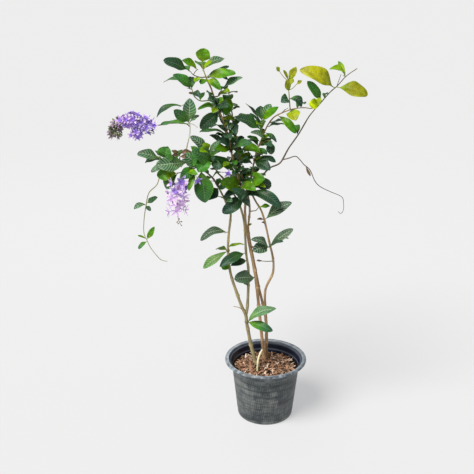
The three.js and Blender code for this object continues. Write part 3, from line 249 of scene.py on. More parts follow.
    [0.82, [-4, 40, -12], 28, -24, 0.16, "old"]]],
  ["right_crown_pair", "cane_right", 0, 0, [[-40, 16, 850]], [
    [0, [62, -25, 2], 30, 20, 0.14, "old"],
    [0, [44, -50, -17], 36, 52, 0.12, "old"],
    [0, [-25, -15, 35], 14, 14, 0.03, "old"],
    [0, [50, 50, 10], 34, -16, 0.16, "mid"]]],
  ["crown_heart_pair", "cane_back", 0, 0, [[-85, 25, 830]], [
    [0, [25, -60, 40], 28, 40, 0.10, "old"],
    [0, [60, 55, 10], 34, -14, 0.16, "mid"],
    [0, [-35, 80, -5], 34, -14, 0.16, "old"]]],
  ["crown_heart_pair_low", "cane_front", 0, 0, [[-92, 7, 815]], [
    [0, [-73, -40, 56], 36, 40, 0.02, "mid"],
    [0, [17, -50, 21], 30, 44, 0.10, "old"],
    [0, [-12, -50, 32], 26, 44, 0.08, "mid"]]],
  ["crown_base_whorl", "cane_front", 0, 0, [[-79, 6, 776]], [
    [0, [-60, -50, 23], 44, 70, 0.12, "fresh"],
    [0, [44, -60, 2], 30, 50, 0.14, "fresh"],
    [0, [-30, 80, 0], 36, -14, 0.16, "mid"]]],
  ["crown_base_right", "cane_right", 0, 0, [[-52, 9, 790]], [
    [0, [42, -45, 16], 40, 66, 0.12, "fresh"],
    [0, [63, 10, -22], 36, 80, 0.14, "old"],
    [0, [30, 75, 15], 34, -14, 0.16, "mid"]]],
  ["crown_low_pair", "cane_back", 0, 0, [[-62, -3, 756]], [
    [0, [99, -42, -35], 36, 46, 0.22, "old"],
    [0, [-72, -26, -14], 28, 20, 0.20, "old"]]],
  ["crown_low_leaf_left", "cane_front", 0, 0, [[-69, 7, 738]], [
    [0, [-66, -50, -35], 40, 62, 0.14, "old"],
    [0, [-45, 40, 20], 28, 20, 0.14, "mid"]]],
  ["right_cane_leaf_high", "cane_right", 0, 0, [[-10, -6, 669]], [
    [0, [81, -10, 57], 38, 42, 0.14, "veined"]]],
  ["young_shoot_mid", "cane_back", 1.6, 1.0, [[-54, -7, 693], [-45, -12, 700], [-35, -16, 703],
    [-26, -18, 716]], [
    [0.96, [33, -8, 5], 18, 24, 0.08, "fresh"]]],
  ["low_leaf_left", "cane_left", 0, 0, [[-116, -25, 638]], [
    [0, [-85, -25, -20], 31, 30, 0.26, "veined"]]],
  ["low_young_leaf", "cane_left", 0, 0, [[-67, -4, 590]], [
    [0, [-50, -35, 5], 16, 10, 0.06, "lime"]]],
  ["low_leaf_far_left", "cane_left", 0, 0, [[-119, -30, 578]], [
    [0, [-75, -20, -50], 29, 34, 0.10, "striped"],
    [0, [-35, 50, -15], 24, 20, 0.10, "fresh"]]],
  ["low_leaf_dark", "cane_left", 0, 0, [[-64, -4, 562]], [
    [0, [-80, -55, -25], 34, 44, 0.16, "old"]]],
  ["low_leaf_small", "cane_left", 0, 0, [[-60, 4, 532]], [
    [0, [-50, -45, 0], 26, 40, 0.14, "old"]]],
  ["low_leaf_olive", "cane_left", 0, 0, [[-118, -30, 546]], [
    [0, [-18, -10, -26], 26, 64, 0.10, "fresh"]]],
  ["low_leaf_oval", "cane_front", 0, 0, [[-32, 18, 470]], [
    [0, [-66, -60, 22], 42, 58, 0.05, "veined"]]],
  ["right_cane_cluster", "cane_right", 2.0, 1.5, [[8, 3, 591], [7, -6, 585], [5, -12, 583]], [
    [0.94, [-55, -40, 40], 28, 40, 0.16, "veined"],
    [0.94, [40, -45, 35], 24, 30, 0.10, "old"],
    [0.62, [70, -15, 60], 27, 44, 0.10, "veined"],
    [0.98, [-50, -50, 5], 38, 50, 0.10, "veined"],
    [0.62, [60, 35, 10], 30, -20, 0.14, "mid"]]],
  ["right_cane_young_twig", "cane_right", 1.5, 0.9, [[21, 8, 531], [4, 2, 531], [-14, -3, 534]], [
    [0.97, [-20, -10, 5], 9, 20, 0.05, "dry"]]],
  ["basal_pair", "cane_left", 0, 0, [[-62, -16, 333]], [
    [0, [90, -30, 60], 34, 34, 0.22, "pale"],
    [0, [80, -45, -10], 30, 44, 0.14, "mid"]]],
  ["basal_dry_twig", "cane_left", 1.5, 0.9, [[-72, -18, 369], [-85, -26, 387], [-103, -30, 393]], []],
  ["runner_left", "left_branch", 1.6, 0.9, [[-286, -56, 868], [-298, -46, 850], [-314, -46, 826],
    [-325, -50, 794], [-349, -54, 770], [-359, -56, 730], [-366, -58, 688], [-368, -58, 647],
    [-360, -58, 624], [-351, -60, 603], [-336, -62, 581], [-319, -64, 563], [-301, -66, 559]], [
    [0.42, [35, -20, 25], 17, 56, 0.10, "old"],
    [0.43, [-35, -15, -10], 18, 40, 0.24, "pale"],
    [0.44, [15, -20, -10], 13, 56, 0.12, "old"],
    [0.74, [25, -10, 45], 17, 72, 0.10, "fresh"],
    [0.75, [-25, -15, -20], 14, 40, 0.14, "mid"],
    [0.73, [-25, 0, 10], 9, 20, 0.08, "fresh"]]],
  ["back_spray_high", "cane_front", 2.2, 1.2, [[-124, 8, 945], [-124, 40, 953], [-131, 76, 969],
    [-137, 104, 981]], [
    [0.45, [-45, 40, 0], 34, -16, 0.16, "mid"],
    [0.45, [45, 40, -5], 32, -16, 0.16, "old"],
    [0.9, [-45, 35, 10], 32, -26, 0.16, "mid"],
    [0.9, [45, 40, 10], 34, -26, 0.16, "fresh"],
    [0.97, [0, 50, 30], 30, -40, 0.14, "fresh"],
    [0.7, [5, 45, -45], 34, -40, 0.20, "old"]]],
  ["back_spray_mid", "cane_back", 2.4, 1.2, [[-85, 26, 856], [-83, 62, 853], [-89, 100, 858],
    [-95, 134, 862]], [
    [0.4, [-70, 46, 28], 34, -16, 0.10, "old"],
    [0.4, [70, 40, -15], 36, -16, 0.18, "old"],
    [0.83, [-55, 40, 15], 34, -26, 0.16, "mid"],
    [0.83, [60, 45, 10], 34, -26, 0.16, "mid"],
    [0.97, [0, 50, 20], 30, -40, 0.14, "fresh"],
    [0.63, [0, 35, -60], 34, -50, 0.22, "old"]]],
  ["back_spray_left", "left_branch", 2.2, 1.2, [[-196, -44, 838], [-200, -10, 848], [-208, 30, 849],
    [-218, 66, 849]], [
    [0.45, [-55, 5, -20], 34, -16, 0.18, "old"],
    [0.57, [50, 25, -25], 34, -16, 0.18, "old"],
    [0.83, [-45, 30, 10], 32, -26, 0.16, "mid"],
    [0.83, [45, 35, 5], 32, -26, 0.16, "mid"],
    [0.97, [-10, 40, 20], 30, -40, 0.14, "fresh"]]],
  ["back_spray_low", "cane_right", 2.2, 1.2, [[-52, 3, 770], [-50, 40, 762], [-55, 76, 764],
    [-61, 104, 765]], [
    [0.5, [-55, 25, -25], 36, -16, 0.18, "old"],
    [0.52, [60, 25, -25], 36, -16, 0.18, "old"],
    [0.86, [-50, 30, 10], 34, -26, 0.16, "mid"],
    [0.86, [55, 35, 5], 34, -26, 0.16, "mid"],
    [0.97, [0, 40, 25], 30, -40, 0.14, "fresh"]]],
  ["dried_cluster", "left_branch", 1.6, 1.1, [[-258, -54, 868], [-256, -48, 880], [-259, -48, 889]], [
    [0.5, [29, -14, 3], 13, 60, 0.20, "dry"],
    [0.7, [-24, -14, 0], 10, 50, 0.20, "dry"],
    [0.9, [36, -8, 6], 13, 60, 0.24, "dry"],
    [1.0, [-20, -6, 8], 10, 50, 0.20, "dry"]]],
]

# Small leaves of the crown that grow straight from a stem: what they grow from, the place, reach,
# width, turn, arch, tone.
SMALL_LEAVES = [
  ["cane_left", [-150, -6, 775], [-36, -45, -22], 38, 70, 0.12, "old"],
  ["crown_left_hanging", [-168, -40, 860], [25, -40, -11], 24, 60, 0.14, "old"],
  ["left_lower_sprig", [-214, -52, 845], [-14, -50, -51], 18, 60, 0.12, "fresh"],
  ["cane_back", [-56, -7, 719], [-52, -40, 64], 34, 50, 0.16, "old"],
  ["cane_back", [-55, -7, 712], [-19, -40, 30], 26, 50, 0.14, "old"],
  ["cane_front", [-70, 6, 742], [38, -46, 18], 26, 50, 0.14, "old"],
  ["cane_front", [-75, 6, 765], [-6, -60, -18], 26, 60, 0.14, "old"],
  ["cane_right", [-51, 5, 775], [44, -40, 6], 18, 40, 0.16, "lime"],
  ["cane_right", [-30, 15, 888], [26, -20, -16], 14, 40, 0.14, "mid"],
  ["cane_right", [-10, 10, 935], [34, -20, -26], 16, 30, 0.14, "old"],
  ["cane_right", [-10, -6, 671], [-22, -14, 6], 8, 40, 0.12, "dry"],
  ["cane_right", [-6, -4, 655], [-12, -16, 12], 8, 40, 0.12, "dry"],
  ["cane_back", [-56, 20, 640], [10, -16, 12], 8, 50, 0.10, "lime"],
  ["cane_front", [-52, 16, 575], [16, -10, -4], 7, 40, 0.10, "dry"],
  ["cane_left", [-57, 2, 450], [-14, -14, 12], 8, 40, 0.10, "mid"],
]

# Where the stems of the crown carry pairs of axil leaves: stem, lowest and highest place, distance
# between them.
AXIL_STEMS = [
  ["cane_front", 785, 1010, 17],
  ["cane_back", 775, 1010, 17],
  ["cane_right", 765, 930, 18],
  ["cane_left", 745, 812, 22],
  ["crown_left_hanging", 830, 890, 20],
  ["left_branch", 812, 866, 22],
]

# The axil leaves: their lengths, turns at the front and at the back, and tones to draw from.
AXIL_SIZES = (22, 46)
FRONT_TURNS = (15, 65)
BACK_TURNS = (-40, 20)
AXIL_TONES = ("old", "old", "mid", "mid", "fresh", "pale", "lime")

# Flower stalks: node, what it grows from, radius at the root and at the tip, points of the centre
# line, shares of the way along where the open flowers begin and end, florets, how far they stand out,
# their radius, buds at the tip.
RACEMES = [
  ["raceme_left", "left_upper_spray", 1.6, 1.1, [[-225, -59, 966], [-240, -46, 974], [-277, -44, 974],
    [-310, -48, 970], [-335, -58, 970], [-356, -66, 979], [-379, -72, 991], [-402, -76, 988],
    [-422, -78, 974], [-436, -78, 963]],
    0.46, 0.86, 14, 17, 17, 0],
  ["raceme_left", "raceme_left", 1.1, 0.8, [[-356, -66, 979], [-367, -72, 964], [-381, -76, 945]],
    0.2, 1, 5, 15, 14, 1],
  ["raceme_left", "raceme_left", 1.1, 0.8, [[-414, -78, 988], [-425, -78, 980], [-432, -78, 963],
    [-440, -78, 945]], 0.10, 0.95, 8, 12.5, 13, 0],
  ["raceme_hanging", "left_lower_sprig", 1.6, 0.9, [[-248, -66, 836], [-255, -78, 826], [-259, -85, 806],
    [-262, -88, 788], [-264, -90, 764], [-264, -90, 736], [-264, -90, 712], [-260, -90, 694],
    [-255, -90, 683]],
    0.14, 0.72, 13, 23, 20, 6],
  ["single_flower_left", "left_lower_sprig", 1.1, 0.8, [[-219, -56, 841], [-214, -68, 834],
    [-208, -84, 827]],
    1, 1, 1, 14, 13.5, 0],
  ["single_flower_right", "cane_front", 1.1, 0.8, [[-92, 7, 808], [-107, -22, 816], [-113, -34, 821]],
    1, 1, 1, 12, 17, 0],
]

# Seeds of the draws. A node's own draw adds its place in its table.
CANE_SEED = 50
SHOOT_SEED = 100
RACEME_SEED = 300
AXIL_SEED = 640
MIX_SEED = 11
CRUMB_SEED = 31

# Sides of the round stems.
CANE_SIDES = 16
SHOOT_SIDES = 9
STALK_SIDES = 8
THIN_SIDES = 6

# A random phase of a wave lies within about one full turn, in radians.
PHASE = 6.28


def shade(red, green, blue):
    """A colour as screens show it, from 0 to 255, as the linear colour that Blender uses."""
    parts = [c / 255 for c in (red, green, blue)]
    return tuple(c / 12.92 if c <= 0.04045 else ((c + 0.055) / 1.055) ** 2.4 for c in parts)


def colour(name, description, *screen):
    """A colour setting, its default given as screens show it."""
    return FloatVectorProperty(name=name, description=description, subtype="COLOR", size=3,
                               min=0, max=1, default=shade(*screen))


def length(name, description, millimetres):
    """A length setting, its default given in millimetres."""
    return FloatProperty(name=name, description=description, unit="LENGTH", min=0,
                         default=millimetres * MM)


def number(name, description, default, lowest=0):
    """A plain number setting."""
    return FloatProperty(name=name, description=description, default=default, min=lowest)


def number_of(name, description, default):
    """A setting that counts pieces."""
    return IntProperty(name=name, description=description, default=default, min=0)


class PotSettings(PropertyGroup):
    height: length("Height", "From the base to the top of the rim", 198)
    rim_radius: length("Rim radius", "Outer radius of the rolled rim", 130)
    mouth_radius: length("Mouth radius", "Inner radius of the mouth", 117)
    collar_radius: length("Collar radius", "Outer radius of the collar under the rim", 109)
    collar_depth: length("Collar depth", "From the top of the rim down to the step of the collar", 30)
    wall_top_radius: length("Wall top radius", "Outer radius of the tapered wall under the collar", 106.5)
    base_radius: length("Base radius", "Outer radius of the flat base", 89)
    wall: length("Wall", "Thickness of the moulded wall", 2.6)
    relief: length("Relief", "Depth of the moulded ribs and bands", 0.9)
    plastic: colour("Plastic", "Weathered black plastic", 56, 66, 72)
    dust: colour("Dust", "Dry dust and lime on the plastic", 144, 148, 144)
    # Partly a painted reflection: the rim is lighter and bluer than the wall, standing for the sky it
    # reflects as well as for scuffed plastic.
    rim: colour("Rim", "Scuffed bluish plastic of the rim", 82, 92, 104)
    # Painted shade: the inside of the mouth is coloured a dark navy that stands for the shade within it.
    inside: colour("Inside", "Cleaner plastic inside the mouth", 8, 20, 44)
    # Painted shade: this dark colour in the moulded grooves stands for dirt and for the shade in them.
    groove_shade_and_dirt: colour("Grime", "Dirt in the moulded grooves", 30, 34, 38)
    # Painted highlight: this bluish white stands for glints of light on the rim as well as for worn
    # edges.
    glint_and_scuff: colour("Scuff", "Bluish white of the worn edges", 176, 190, 208)


class MixSettings(PropertyGroup):
    level: length("Level", "Height of the mix at the wall", 163)
    heap: length("Heap", "How much higher the mix is round the canes", 9)
    chips: number_of("Chips", "Bark and husk chips on the surface", 520)
    fibres: number_of("Fibres", "Coir fibres on the surface", 150)
    bark: colour("Bark", "Fresh reddish bark", 172, 132, 106)
    pale: colour("Pale husk", "Sun-bleached husk and wood", 240, 220, 200)
    # Painted shade: the crumb is dark partly to stand for the shade in the gaps between the chips.
    dark: colour("Dark crumb", "Moist crumb between the chips", 36, 20, 12)


class LeafSettings(PropertyGroup):
    thickness: length("Blade thickness", "Thickness of a leaf blade", 0.6)
    quilting: length("Quilting", "How far the blade bulges between two side veins", 0.6)
    vein_spacing: length("Vein spacing", "Distance between side veins along the midrib", 8.4)
    old: colour("Old leaf", "Dark green of an old leaf", 12, 55, 20)
    teal: colour("Leaf tip", "Blue-green sheen towards a grown leaf's tip", 16, 68, 50)
    mid: colour("Grown leaf", "Green of a grown leaf", 50, 114, 12)
    fresh: colour("Fresh leaf", "Bright green of a fresh leaf", 80, 130, 0)
    lime: colour("Lime leaf", "Yellow-green of a new leaf", 136, 168, 2)
    # Painted light: a lighter copy of the lime, so that small leaves of the runner that face away from
    # the sun still look sunlit.
    bright: colour("Bright leaf", "Yellow of the smallest leaves of the runner", 186, 214, 4)
    gold: colour("Gold leaf", "Olive-yellow of a young leaf", 140, 146, 0)
    # Painted highlight: the bold white veins of the pale, veined and striped tones are partly painted
    # glints.
    pale: colour("Pale leaf", "Grey-green of a leaf with pale veins", 46, 98, 50)
    veined: colour("Veined leaf", "Dark green of a leaf with bold white veins", 20, 66, 30)
    striped: colour("Striped leaf", "Yellow-green of a leaf with bold white veins", 66, 106, 22)
    dry: colour("Dry leaf", "Brown of a withered leaf", 96, 72, 50)


class StemSettings(PropertyGroup):
    shoot: colour("Shoot", "Olive-brown skin of a leafy shoot", 110, 96, 58)
    green_shoot: colour("Green shoot", "Skin of the youngest shoots", 120, 136, 50)


class FlowerSettings(PropertyGroup):
    density: number("Density", "Florets for each one of the plain solid", 2.3, 0.1)
    violet: colour("Violet", "Corolla and fresh calyx lobes", 148, 116, 226)
    lilac: colour("Lilac", "Lighter lobes of open florets", 208, 184, 255)
    # On the left raceme this pale colour is a painted highlight on some lobe tips.
    blush_and_highlight: colour("Blush", "Pinkish-white tips of the hanging raceme", 252, 226, 255)
    mauve: colour("Mauve", "Pinker lobes of older open florets", 188, 140, 208)
    withered: colour("Withered", "Green-grey calyces past flowering", 128, 136, 104)
    dead: colour("Dead", "Dark red-brown of a dried cluster", 84, 44, 36)


def unit(vector):
    vector = np.asarray(vector, float)
    return vector / np.linalg.norm(vector, axis=-1, keepdims=True)


def square_to(along, vector):
    """The part of a vector that is square to a direction, as a direction of its own."""
    return unit(vector - along * np.dot(along, vector))


def towards(first, second, angle):
    """The direction at an angle from one direction towards another that is square to it."""
    return first * math.cos(angle) + second * math.sin(angle)


def stacked(*parts):
    """Arrays that broadcast together as the parts of one more axis."""
    return np.stack(np.broadcast_arrays(*parts), axis=-1)


def around(sides):
    """Angles evenly round a circle."""
    return np.linspace(0, 2 * np.pi, sides, endpoint=False)


def bell(value, width):
    """A smooth bump, 1 where the value is 0 and nearly gone at twice the width."""
    return np.exp(-(value / width) ** 2)


def there_and_back(upper, under):
    """Rows across the upper side of a sheet and back along its underside."""
    return np.concatenate([upper, under[:, ::-1]], axis=1)


def hues(group, *names):
    """Colour settings of a group as arrays."""
    return [np.array(getattr(group, name)) for name in names]


class Skin:
    """Gathers the strips of one piece: points in millimetres, faces, tints, marks and finishes.

    The finish of a strip is the place of its material in the list that piece() is given.
    """

    def __init__(self):
        self.points = []
        self.faces = []
        self.tints = []
        self.marks = []
        self.finishes = []
        self.size = 0

    def loops(self, loops, tint, mark, finish=0):
        """A closed body from rings of points that turn left as seen against the way they run."""
        rows, columns = loops.shape[:2]
        first = self.size + np.arange(rows * columns).reshape(rows, columns)
        beside = np.roll(first, -1, axis=1)
        faces = stacked(first[:-1], beside[:-1], beside[1:], first[1:]).reshape(-1, 4).tolist()
        faces += [first[0][::-1].tolist(), first[-1].tolist()]
        points = loops.reshape(-1, 3)
        self.points.append(points)
        self.tints.append(np.broadcast_to(np.asarray(tint, float).reshape(-1, 3), points.shape))
        self.marks.append(np.broadcast_to(np.asarray(mark, float).reshape(-1, 3), points.shape))
        self.faces += faces
        self.finishes += [finish] * len(faces)
        self.size += len(points)

    def tube(self, path, radii, sides, tint, finish=0, bumps=None):
        """A round stem along a path, with a radius and a tint for each of its points."""
        normals, binormals = frames_along(path)
        angles = around(sides)
        reach = np.asarray(radii, float)[:, None] * np.ones(sides)
        if bumps is not None:
            reach = reach + bumps(angles)
        offsets = (normals[:, None] * np.cos(angles)[None, :, None]
                   + binormals[:, None] * np.sin(angles)[None, :, None])
        loops = path[:, None] + offsets * reach[..., None]
        tints = np.broadcast_to(np.asarray(tint, float).reshape(-1, 1, 3), loops.shape)
        marks = stacked(np.cos(angles)[None], np.sin(angles)[None], run_along(path)[:, None])
        self.loops(loops, tints, marks, finish)

    def piece(self, name, materials, sharp=50):
        """The gathered strips as one Blender object."""
        mesh = bpy.data.meshes.new(name)
        points = np.concatenate(self.points) * MM
        mesh.from_pydata(points.tolist(), [], self.faces)
        for material in materials:
            mesh.materials.append(material)
        mesh.polygons.foreach_set("material_index", self.finishes)
        tints = np.concatenate(self.tints)
        tint = mesh.color_attributes.new("tint", "FLOAT_COLOR", "POINT")
        tint.data.foreach_set("color", np.column_stack([tints.clip(0, 1), np.ones(len(tints))]).ravel())
        mark = mesh.attributes.new("mark", "FLOAT_VECTOR", "POINT")
        mark.data.foreach_set("vector", np.concatenate(self.marks).ravel())
        mesh.shade_smooth()
        mesh.set_sharp_from_angle(angle=math.radians(sharp))
        mesh.update()
        return placed(name, mesh)


# How deep the last leaf sits in the tip of its shoot, and the steps along canes, racemes and shoots.
TIP_SINK = 2
WOOD_STEP = 4
SHOOT_STEP = 5


def blend(a, b, share):
    """Between two values or colours, by a share or an array of shares."""
    share = np.asarray(share, float)
    a = np.asarray(a, float)
    b = np.asarray(b, float)
    if a.ndim and share.ndim:
        share = share[..., None]
    return a + (b - a) * share


def smooth(low, high, value):
    """An eased rise from 0 to 1 while the value goes from low to high."""
    t = np.clip((np.asarray(value, float) - low) / (high - low), 0, 1)
    return t * t * (3 - 2 * t)


def run_along(path):
    """How far each point of a path is from its start, measured along it."""
    return np.linalg.norm(np.diff(path, axis=0, prepend=path[:1]), axis=1).cumsum()


def frames_along(path):
    """Two directions square to a path and to each other, carried along it without twist."""
    tangents = unit(np.gradient(path, axis=0))
    start = np.array([1.0, 0, 0]) if abs(tangents[0][0]) < 0.8 else np.array([0, 1.0, 0])
    normals = np.zeros_like(path)
    for i, tangent in enumerate(tangents):
        start = square_to(tangent, start)
        normals[i] = start
    return normals, np.cross(tangents, normals)


def route(points, spacing):
    """A smooth line through the points, with a point for every so many millimetres."""
    points = np.asarray(points, float)
    ends = np.vstack([2 * points[0] - points[1], points, 2 * points[-1] - points[-2]])
    t = np.linspace(0, 1, 40, endpoint=False)[:, None]
    spans = []
    for a, b, c, d in zip(ends, ends[1:], ends[2:], ends[3:]):
        spans.append(0.5 * (2 * b + (c - a) * t + (2 * a - 5 * b + 4 * c - d) * t ** 2
                            + (3 * b - a - 3 * c + d) * t ** 3))
    dense = np.vstack(spans + [points[-1:]])
    run = run_along(dense)
    count = max(4, int(run[-1] / spacing)) + 1
    even = np.linspace(0, run[-1], count)
    return np.stack([np.interp(even, run, dense[:, i]) for i in range(3)], axis=1)


def grown(stems, node):
    """The stems of a node that have a path, in their order."""
    return [stem for stem in stems if stem["node"] == node and "path" in stem]


def grow_stems():
    """Every stem in the order of growth, each rooted on the centre line that carries it."""
    stems = []
    tables = ((CANES, WOOD_STEP), (SHOOTS, SHOOT_STEP), (RACEMES, WOOD_STEP))
    rows = [(row, spacing) for table, spacing in tables for row in table]
    for (node, parent, root, tip, points, *rest), spacing in rows:
        stem = {"node": node, "root": root, "tip": tip, "rest": rest}
        points = [list(point) for point in points]
        if parent:
            carriers = grown(stems, parent)
            near = [np.linalg.norm(other["path"] - points[0], axis=1) for other in carriers]
            best = min(range(len(carriers)), key=lambda i: near[i].min())
            at = int(near[best].argmin())
            stem["seat"] = (carriers[best], at)
            points[0] = carriers[best]["path"][at].tolist()
        if len(points) > 1:
            stem["path"] = route(points, spacing)
        stems.append(stem)
    return stems


def place_on(stem, share):
    """The place on a stem's centre line that a leaf grows from; a joint's leaves grow from its seat."""
    if "path" not in stem:
        carrier, at = stem["seat"]
        return carrier["path"][at]
    path = stem["path"]
    run = run_along(path)
    deepest = 1 - TIP_SINK / run[-1]
    return np.array([np.interp(min(share, deepest) * run[-1], run, path[:, i]) for i in range(3)])


def radius_of(stem, share):
    """A stem's radius at a share of the way along it."""
    return stem["root"] + (stem["tip"] - stem["root"]) * share


def leaf_frame(reach, turn):
    """The face of a leaf: along it, out of its upper side, and across it."""
    along = unit(reach)
    tilt = math.radians(turn)
    up = square_to(along, np.array([0, -math.sin(tilt), math.cos(tilt)]))
    return along, up, np.cross(up, along)


# Form of a leaf. GROOVE, RIDGE, NARROWEST_HALF and PETIOLE_NECK are millimetres, CLEFT_TURN is
# degrees, and the rest are shares or counts.
PETIOLE_SHARE = 0.08
PETIOLE_ROWS = 6
PETIOLE_NECK = 0.55
FOLD = 0.26
EDGE_WAVE = 0.035
EDGE_SCALLOP = 0.012
BLADE_WAVE = 0.065
SIDEWAYS_BEND = 0.03
VEIN_SLANT = 0.19
FEWEST_VEINS, MOST_VEINS = 4, 14
GROOVE = 0.35
RIDGE = 0.7
NARROWEST_HALF = 0.35
BLUNTNESS = (0.46, 0.68)
CLEFT_BLUNTNESS = 0.42
CLEFT_TURN = 78
CLEFT_DEPTH = 0.07
LEAF_COLUMNS = 11
ROWS_PER_VEIN = 4

# How much the tones of leaves vary.
TONE_SPREAD = 0.22
HUE_SPREAD = 0.08
WARM_SHARES = (0.15, 0.95)
COOL_SHARES = (0.1, 0.9)


def blade_half_width(share, blunt):
    """Half width as a share of the width: a wedge at the base, widest past the middle, then blunt."""
    power = 0.92 - (0.92 - blunt) * smooth(0.2, 0.85, share)
    return 0.5 * np.sin(np.pi * np.clip(share, 0, 1) ** 1.1).clip(0, 1) ** power


# How each tone is coloured: towards the base, towards the tip, and how strongly the veins show.
# The teal towards the tips is a painted blue-green sheen.
TONES = {
    "old": ("mid", "teal", 0.36),
    "mid": ("fresh", "teal", 0.34),
    "fresh": ("lime", "mid", 0.16),
    "lime": ("lime", "fresh", 0.12),
    "gold": ("lime", "gold", 0.24),
    "pale": ("fresh", "teal", 0.72),
    "veined": ("mid", "teal", 0.78),
    "striped": ("fresh", "mid", 0.72),
    "bright": ("lime", "bright", 0.12),
    "dry": ("dry", "dry", 0.30),
}


def leaf_tints(share, across, tone, draw):
    """Colours over a blade: its own tone, a warmer base, a darker tip that on most tones is a painted
    blue-green sheen, one half painted lighter and the other bluer, a margin partly painted with sheen,
    and a little cloudiness.
    """
    leaves = bpy.context.scene.vine_leaves
    base_tone, tip_tone, vein = TONES[tone]
    main, warm, cool = hues(leaves, tone, base_tone, tip_tone)
    main = main * (1 + TONE_SPREAD * draw.uniform(-1, 1))
    main = main * (1 + HUE_SPREAD * draw.uniform(-1, 1, 3))
    warm_share = draw.uniform(*WARM_SHARES) * (1 - smooth(0.05, draw.uniform(0.4, 0.8), share))
    cool_share = draw.uniform(*COOL_SHARES) * smooth(0.4, 0.9, share)
    # Painted light: one half of the blade is made lighter and the other bluer, as if lit on one side and
    # in blue-green sheen on the other.
    painted_side_light = draw.uniform(-0.6, 0.6) * across
    phase = draw.uniform(0, PHASE, 3)
    cloud = 0.12 * np.sin(7 * share + phase[0]) * np.sin(2.6 * across + phase[1])
    cloud = cloud + 0.06 * np.sin(17 * share + 4 * across + phase[2])
    tints = blend(np.broadcast_to(main, share.shape + (3,)), warm, warm_share)
    tints = blend(tints, cool, cool_share + np.clip(painted_side_light, 0, 1) * 0.5)
    tints = tints * (1 + cloud + 0.25 * np.clip(-painted_side_light, 0, 1))[..., None]
    # Painted sheen: the margin is lighter and yellower, partly a paler margin and partly a painted edge
    # sheen.
    edge = smooth(0.86, 1.0, np.abs(across))
    return blend(tints, warm * 1.1, 0.30 * edge), vein


def add_leaf(skin, base, reach, width, turn, arch, tone, draw):
    """One leaf: a petiole and a folded, waved blade that is quilted between its side veins."""
    settings = bpy.context.scene.vine_leaves
    base = np.asarray(base, float)
    reach = np.asarray(reach, float)
    size = float(np.linalg.norm(reach))
    along, up, sideways = leaf_frame(reach, turn)
    veins = int(np.clip(round(size / (settings.vein_spacing / MM)), FEWEST_VEINS, MOST_VEINS))
    share = np.linspace(0, 1, ROWS_PER_VEIN * veins + 1)[:, None]
    across = np.linspace(1, -1, LEAF_COLUMNS)[None, :]
    across = np.sign(across) * np.abs(across) ** 0.9
    aside = np.abs(across)
    # A fresh leaf that faces the front has a notch at its tip.
    cleft = tone == "fresh" and turn >= CLEFT_TURN
    blunt = CLEFT_BLUNTNESS if cleft else draw.uniform(*BLUNTNESS)
    half = np.maximum(width * blade_half_width(share, blunt), NARROWEST_HALF)
    vein_run = veins * (share - VEIN_SLANT * aside ** 1.25)
    scallops = np.cos(2 * np.pi * vein_run)
    slow = draw.uniform(0, PHASE, 2)
    rim = 1 + EDGE_WAVE * np.sin(9 * share + slow[0]) * np.sign(across) + EDGE_SCALLOP * scallops
    wide = half * across * rim
    fold = FOLD * (np.sqrt(wide ** 2 + 1.0) - 1.0) * (1 - 0.25 * aside ** 2)
    wave = BLADE_WAVE * width * np.sin(2 * np.pi * (1.6 * share + 0.08 * across) + slow[1])
    wave = wave * aside ** 2 * np.sign(across)
    quilt = (settings.quilting / MM) * min(1, width / 26) * (0.5 - 0.5 * scallops)
    quilt = quilt * (1 - aside ** 4) * (1 - bell(across, 0.14))
    groove = GROOVE * bell(across, 0.10) * (1 - share)
    lift = arch * size * 4 * share * (1 - share) + fold + wave + quilt - groove
    bend = draw.uniform(-SIDEWAYS_BEND, SIDEWAYS_BEND) * size * 4 * share * (1 - share)
    place = PETIOLE_SHARE + (1 - PETIOLE_SHARE) * share
    if cleft:
        place = place - CLEFT_DEPTH * bell(across, 0.22) * smooth(0.7, 1, share)
    top = (base + along * (size * place)[..., None] * np.ones((1, LEAF_COLUMNS, 1))
           + up * lift[..., None] + sideways * (wide + bend)[..., None])
    out = unit(np.cross(*np.gradient(top, axis=(0, 1))) + 1e-9 * up)
    if np.mean(out @ up) < 0:
        out = -out
    ridge = RIDGE * bell(across, 0.12) * (1 - 0.8 * share)
    thick = settings.thickness / MM * (1 - 0.35 * aside ** 3) + ridge
    under = top - out * thick[..., None]
    tints, strength = leaf_tints(*np.broadcast_arrays(share, across), tone, draw)
    pale = blend(tints, np.array(settings.pale) * 1.15, 0.45)
    marks = stacked(across, vein_run, strength)
    skin.loops(there_and_back(top, under), there_and_back(tints, pale), there_and_back(marks, marks))
    radii = (PETIOLE_NECK + 0.016 * width) * np.linspace(1.15, 0.6, PETIOLE_ROWS)
    steps = np.linspace(0, PETIOLE_SHARE + 0.10, PETIOLE_ROWS)[:, None]
    stalk = base + along * size * steps - up * PETIOLE_NECK
    skin.tube(stalk, radii, THIN_SIDES, blend(tints[2, 5], settings.lime, 0.35), finish=1)


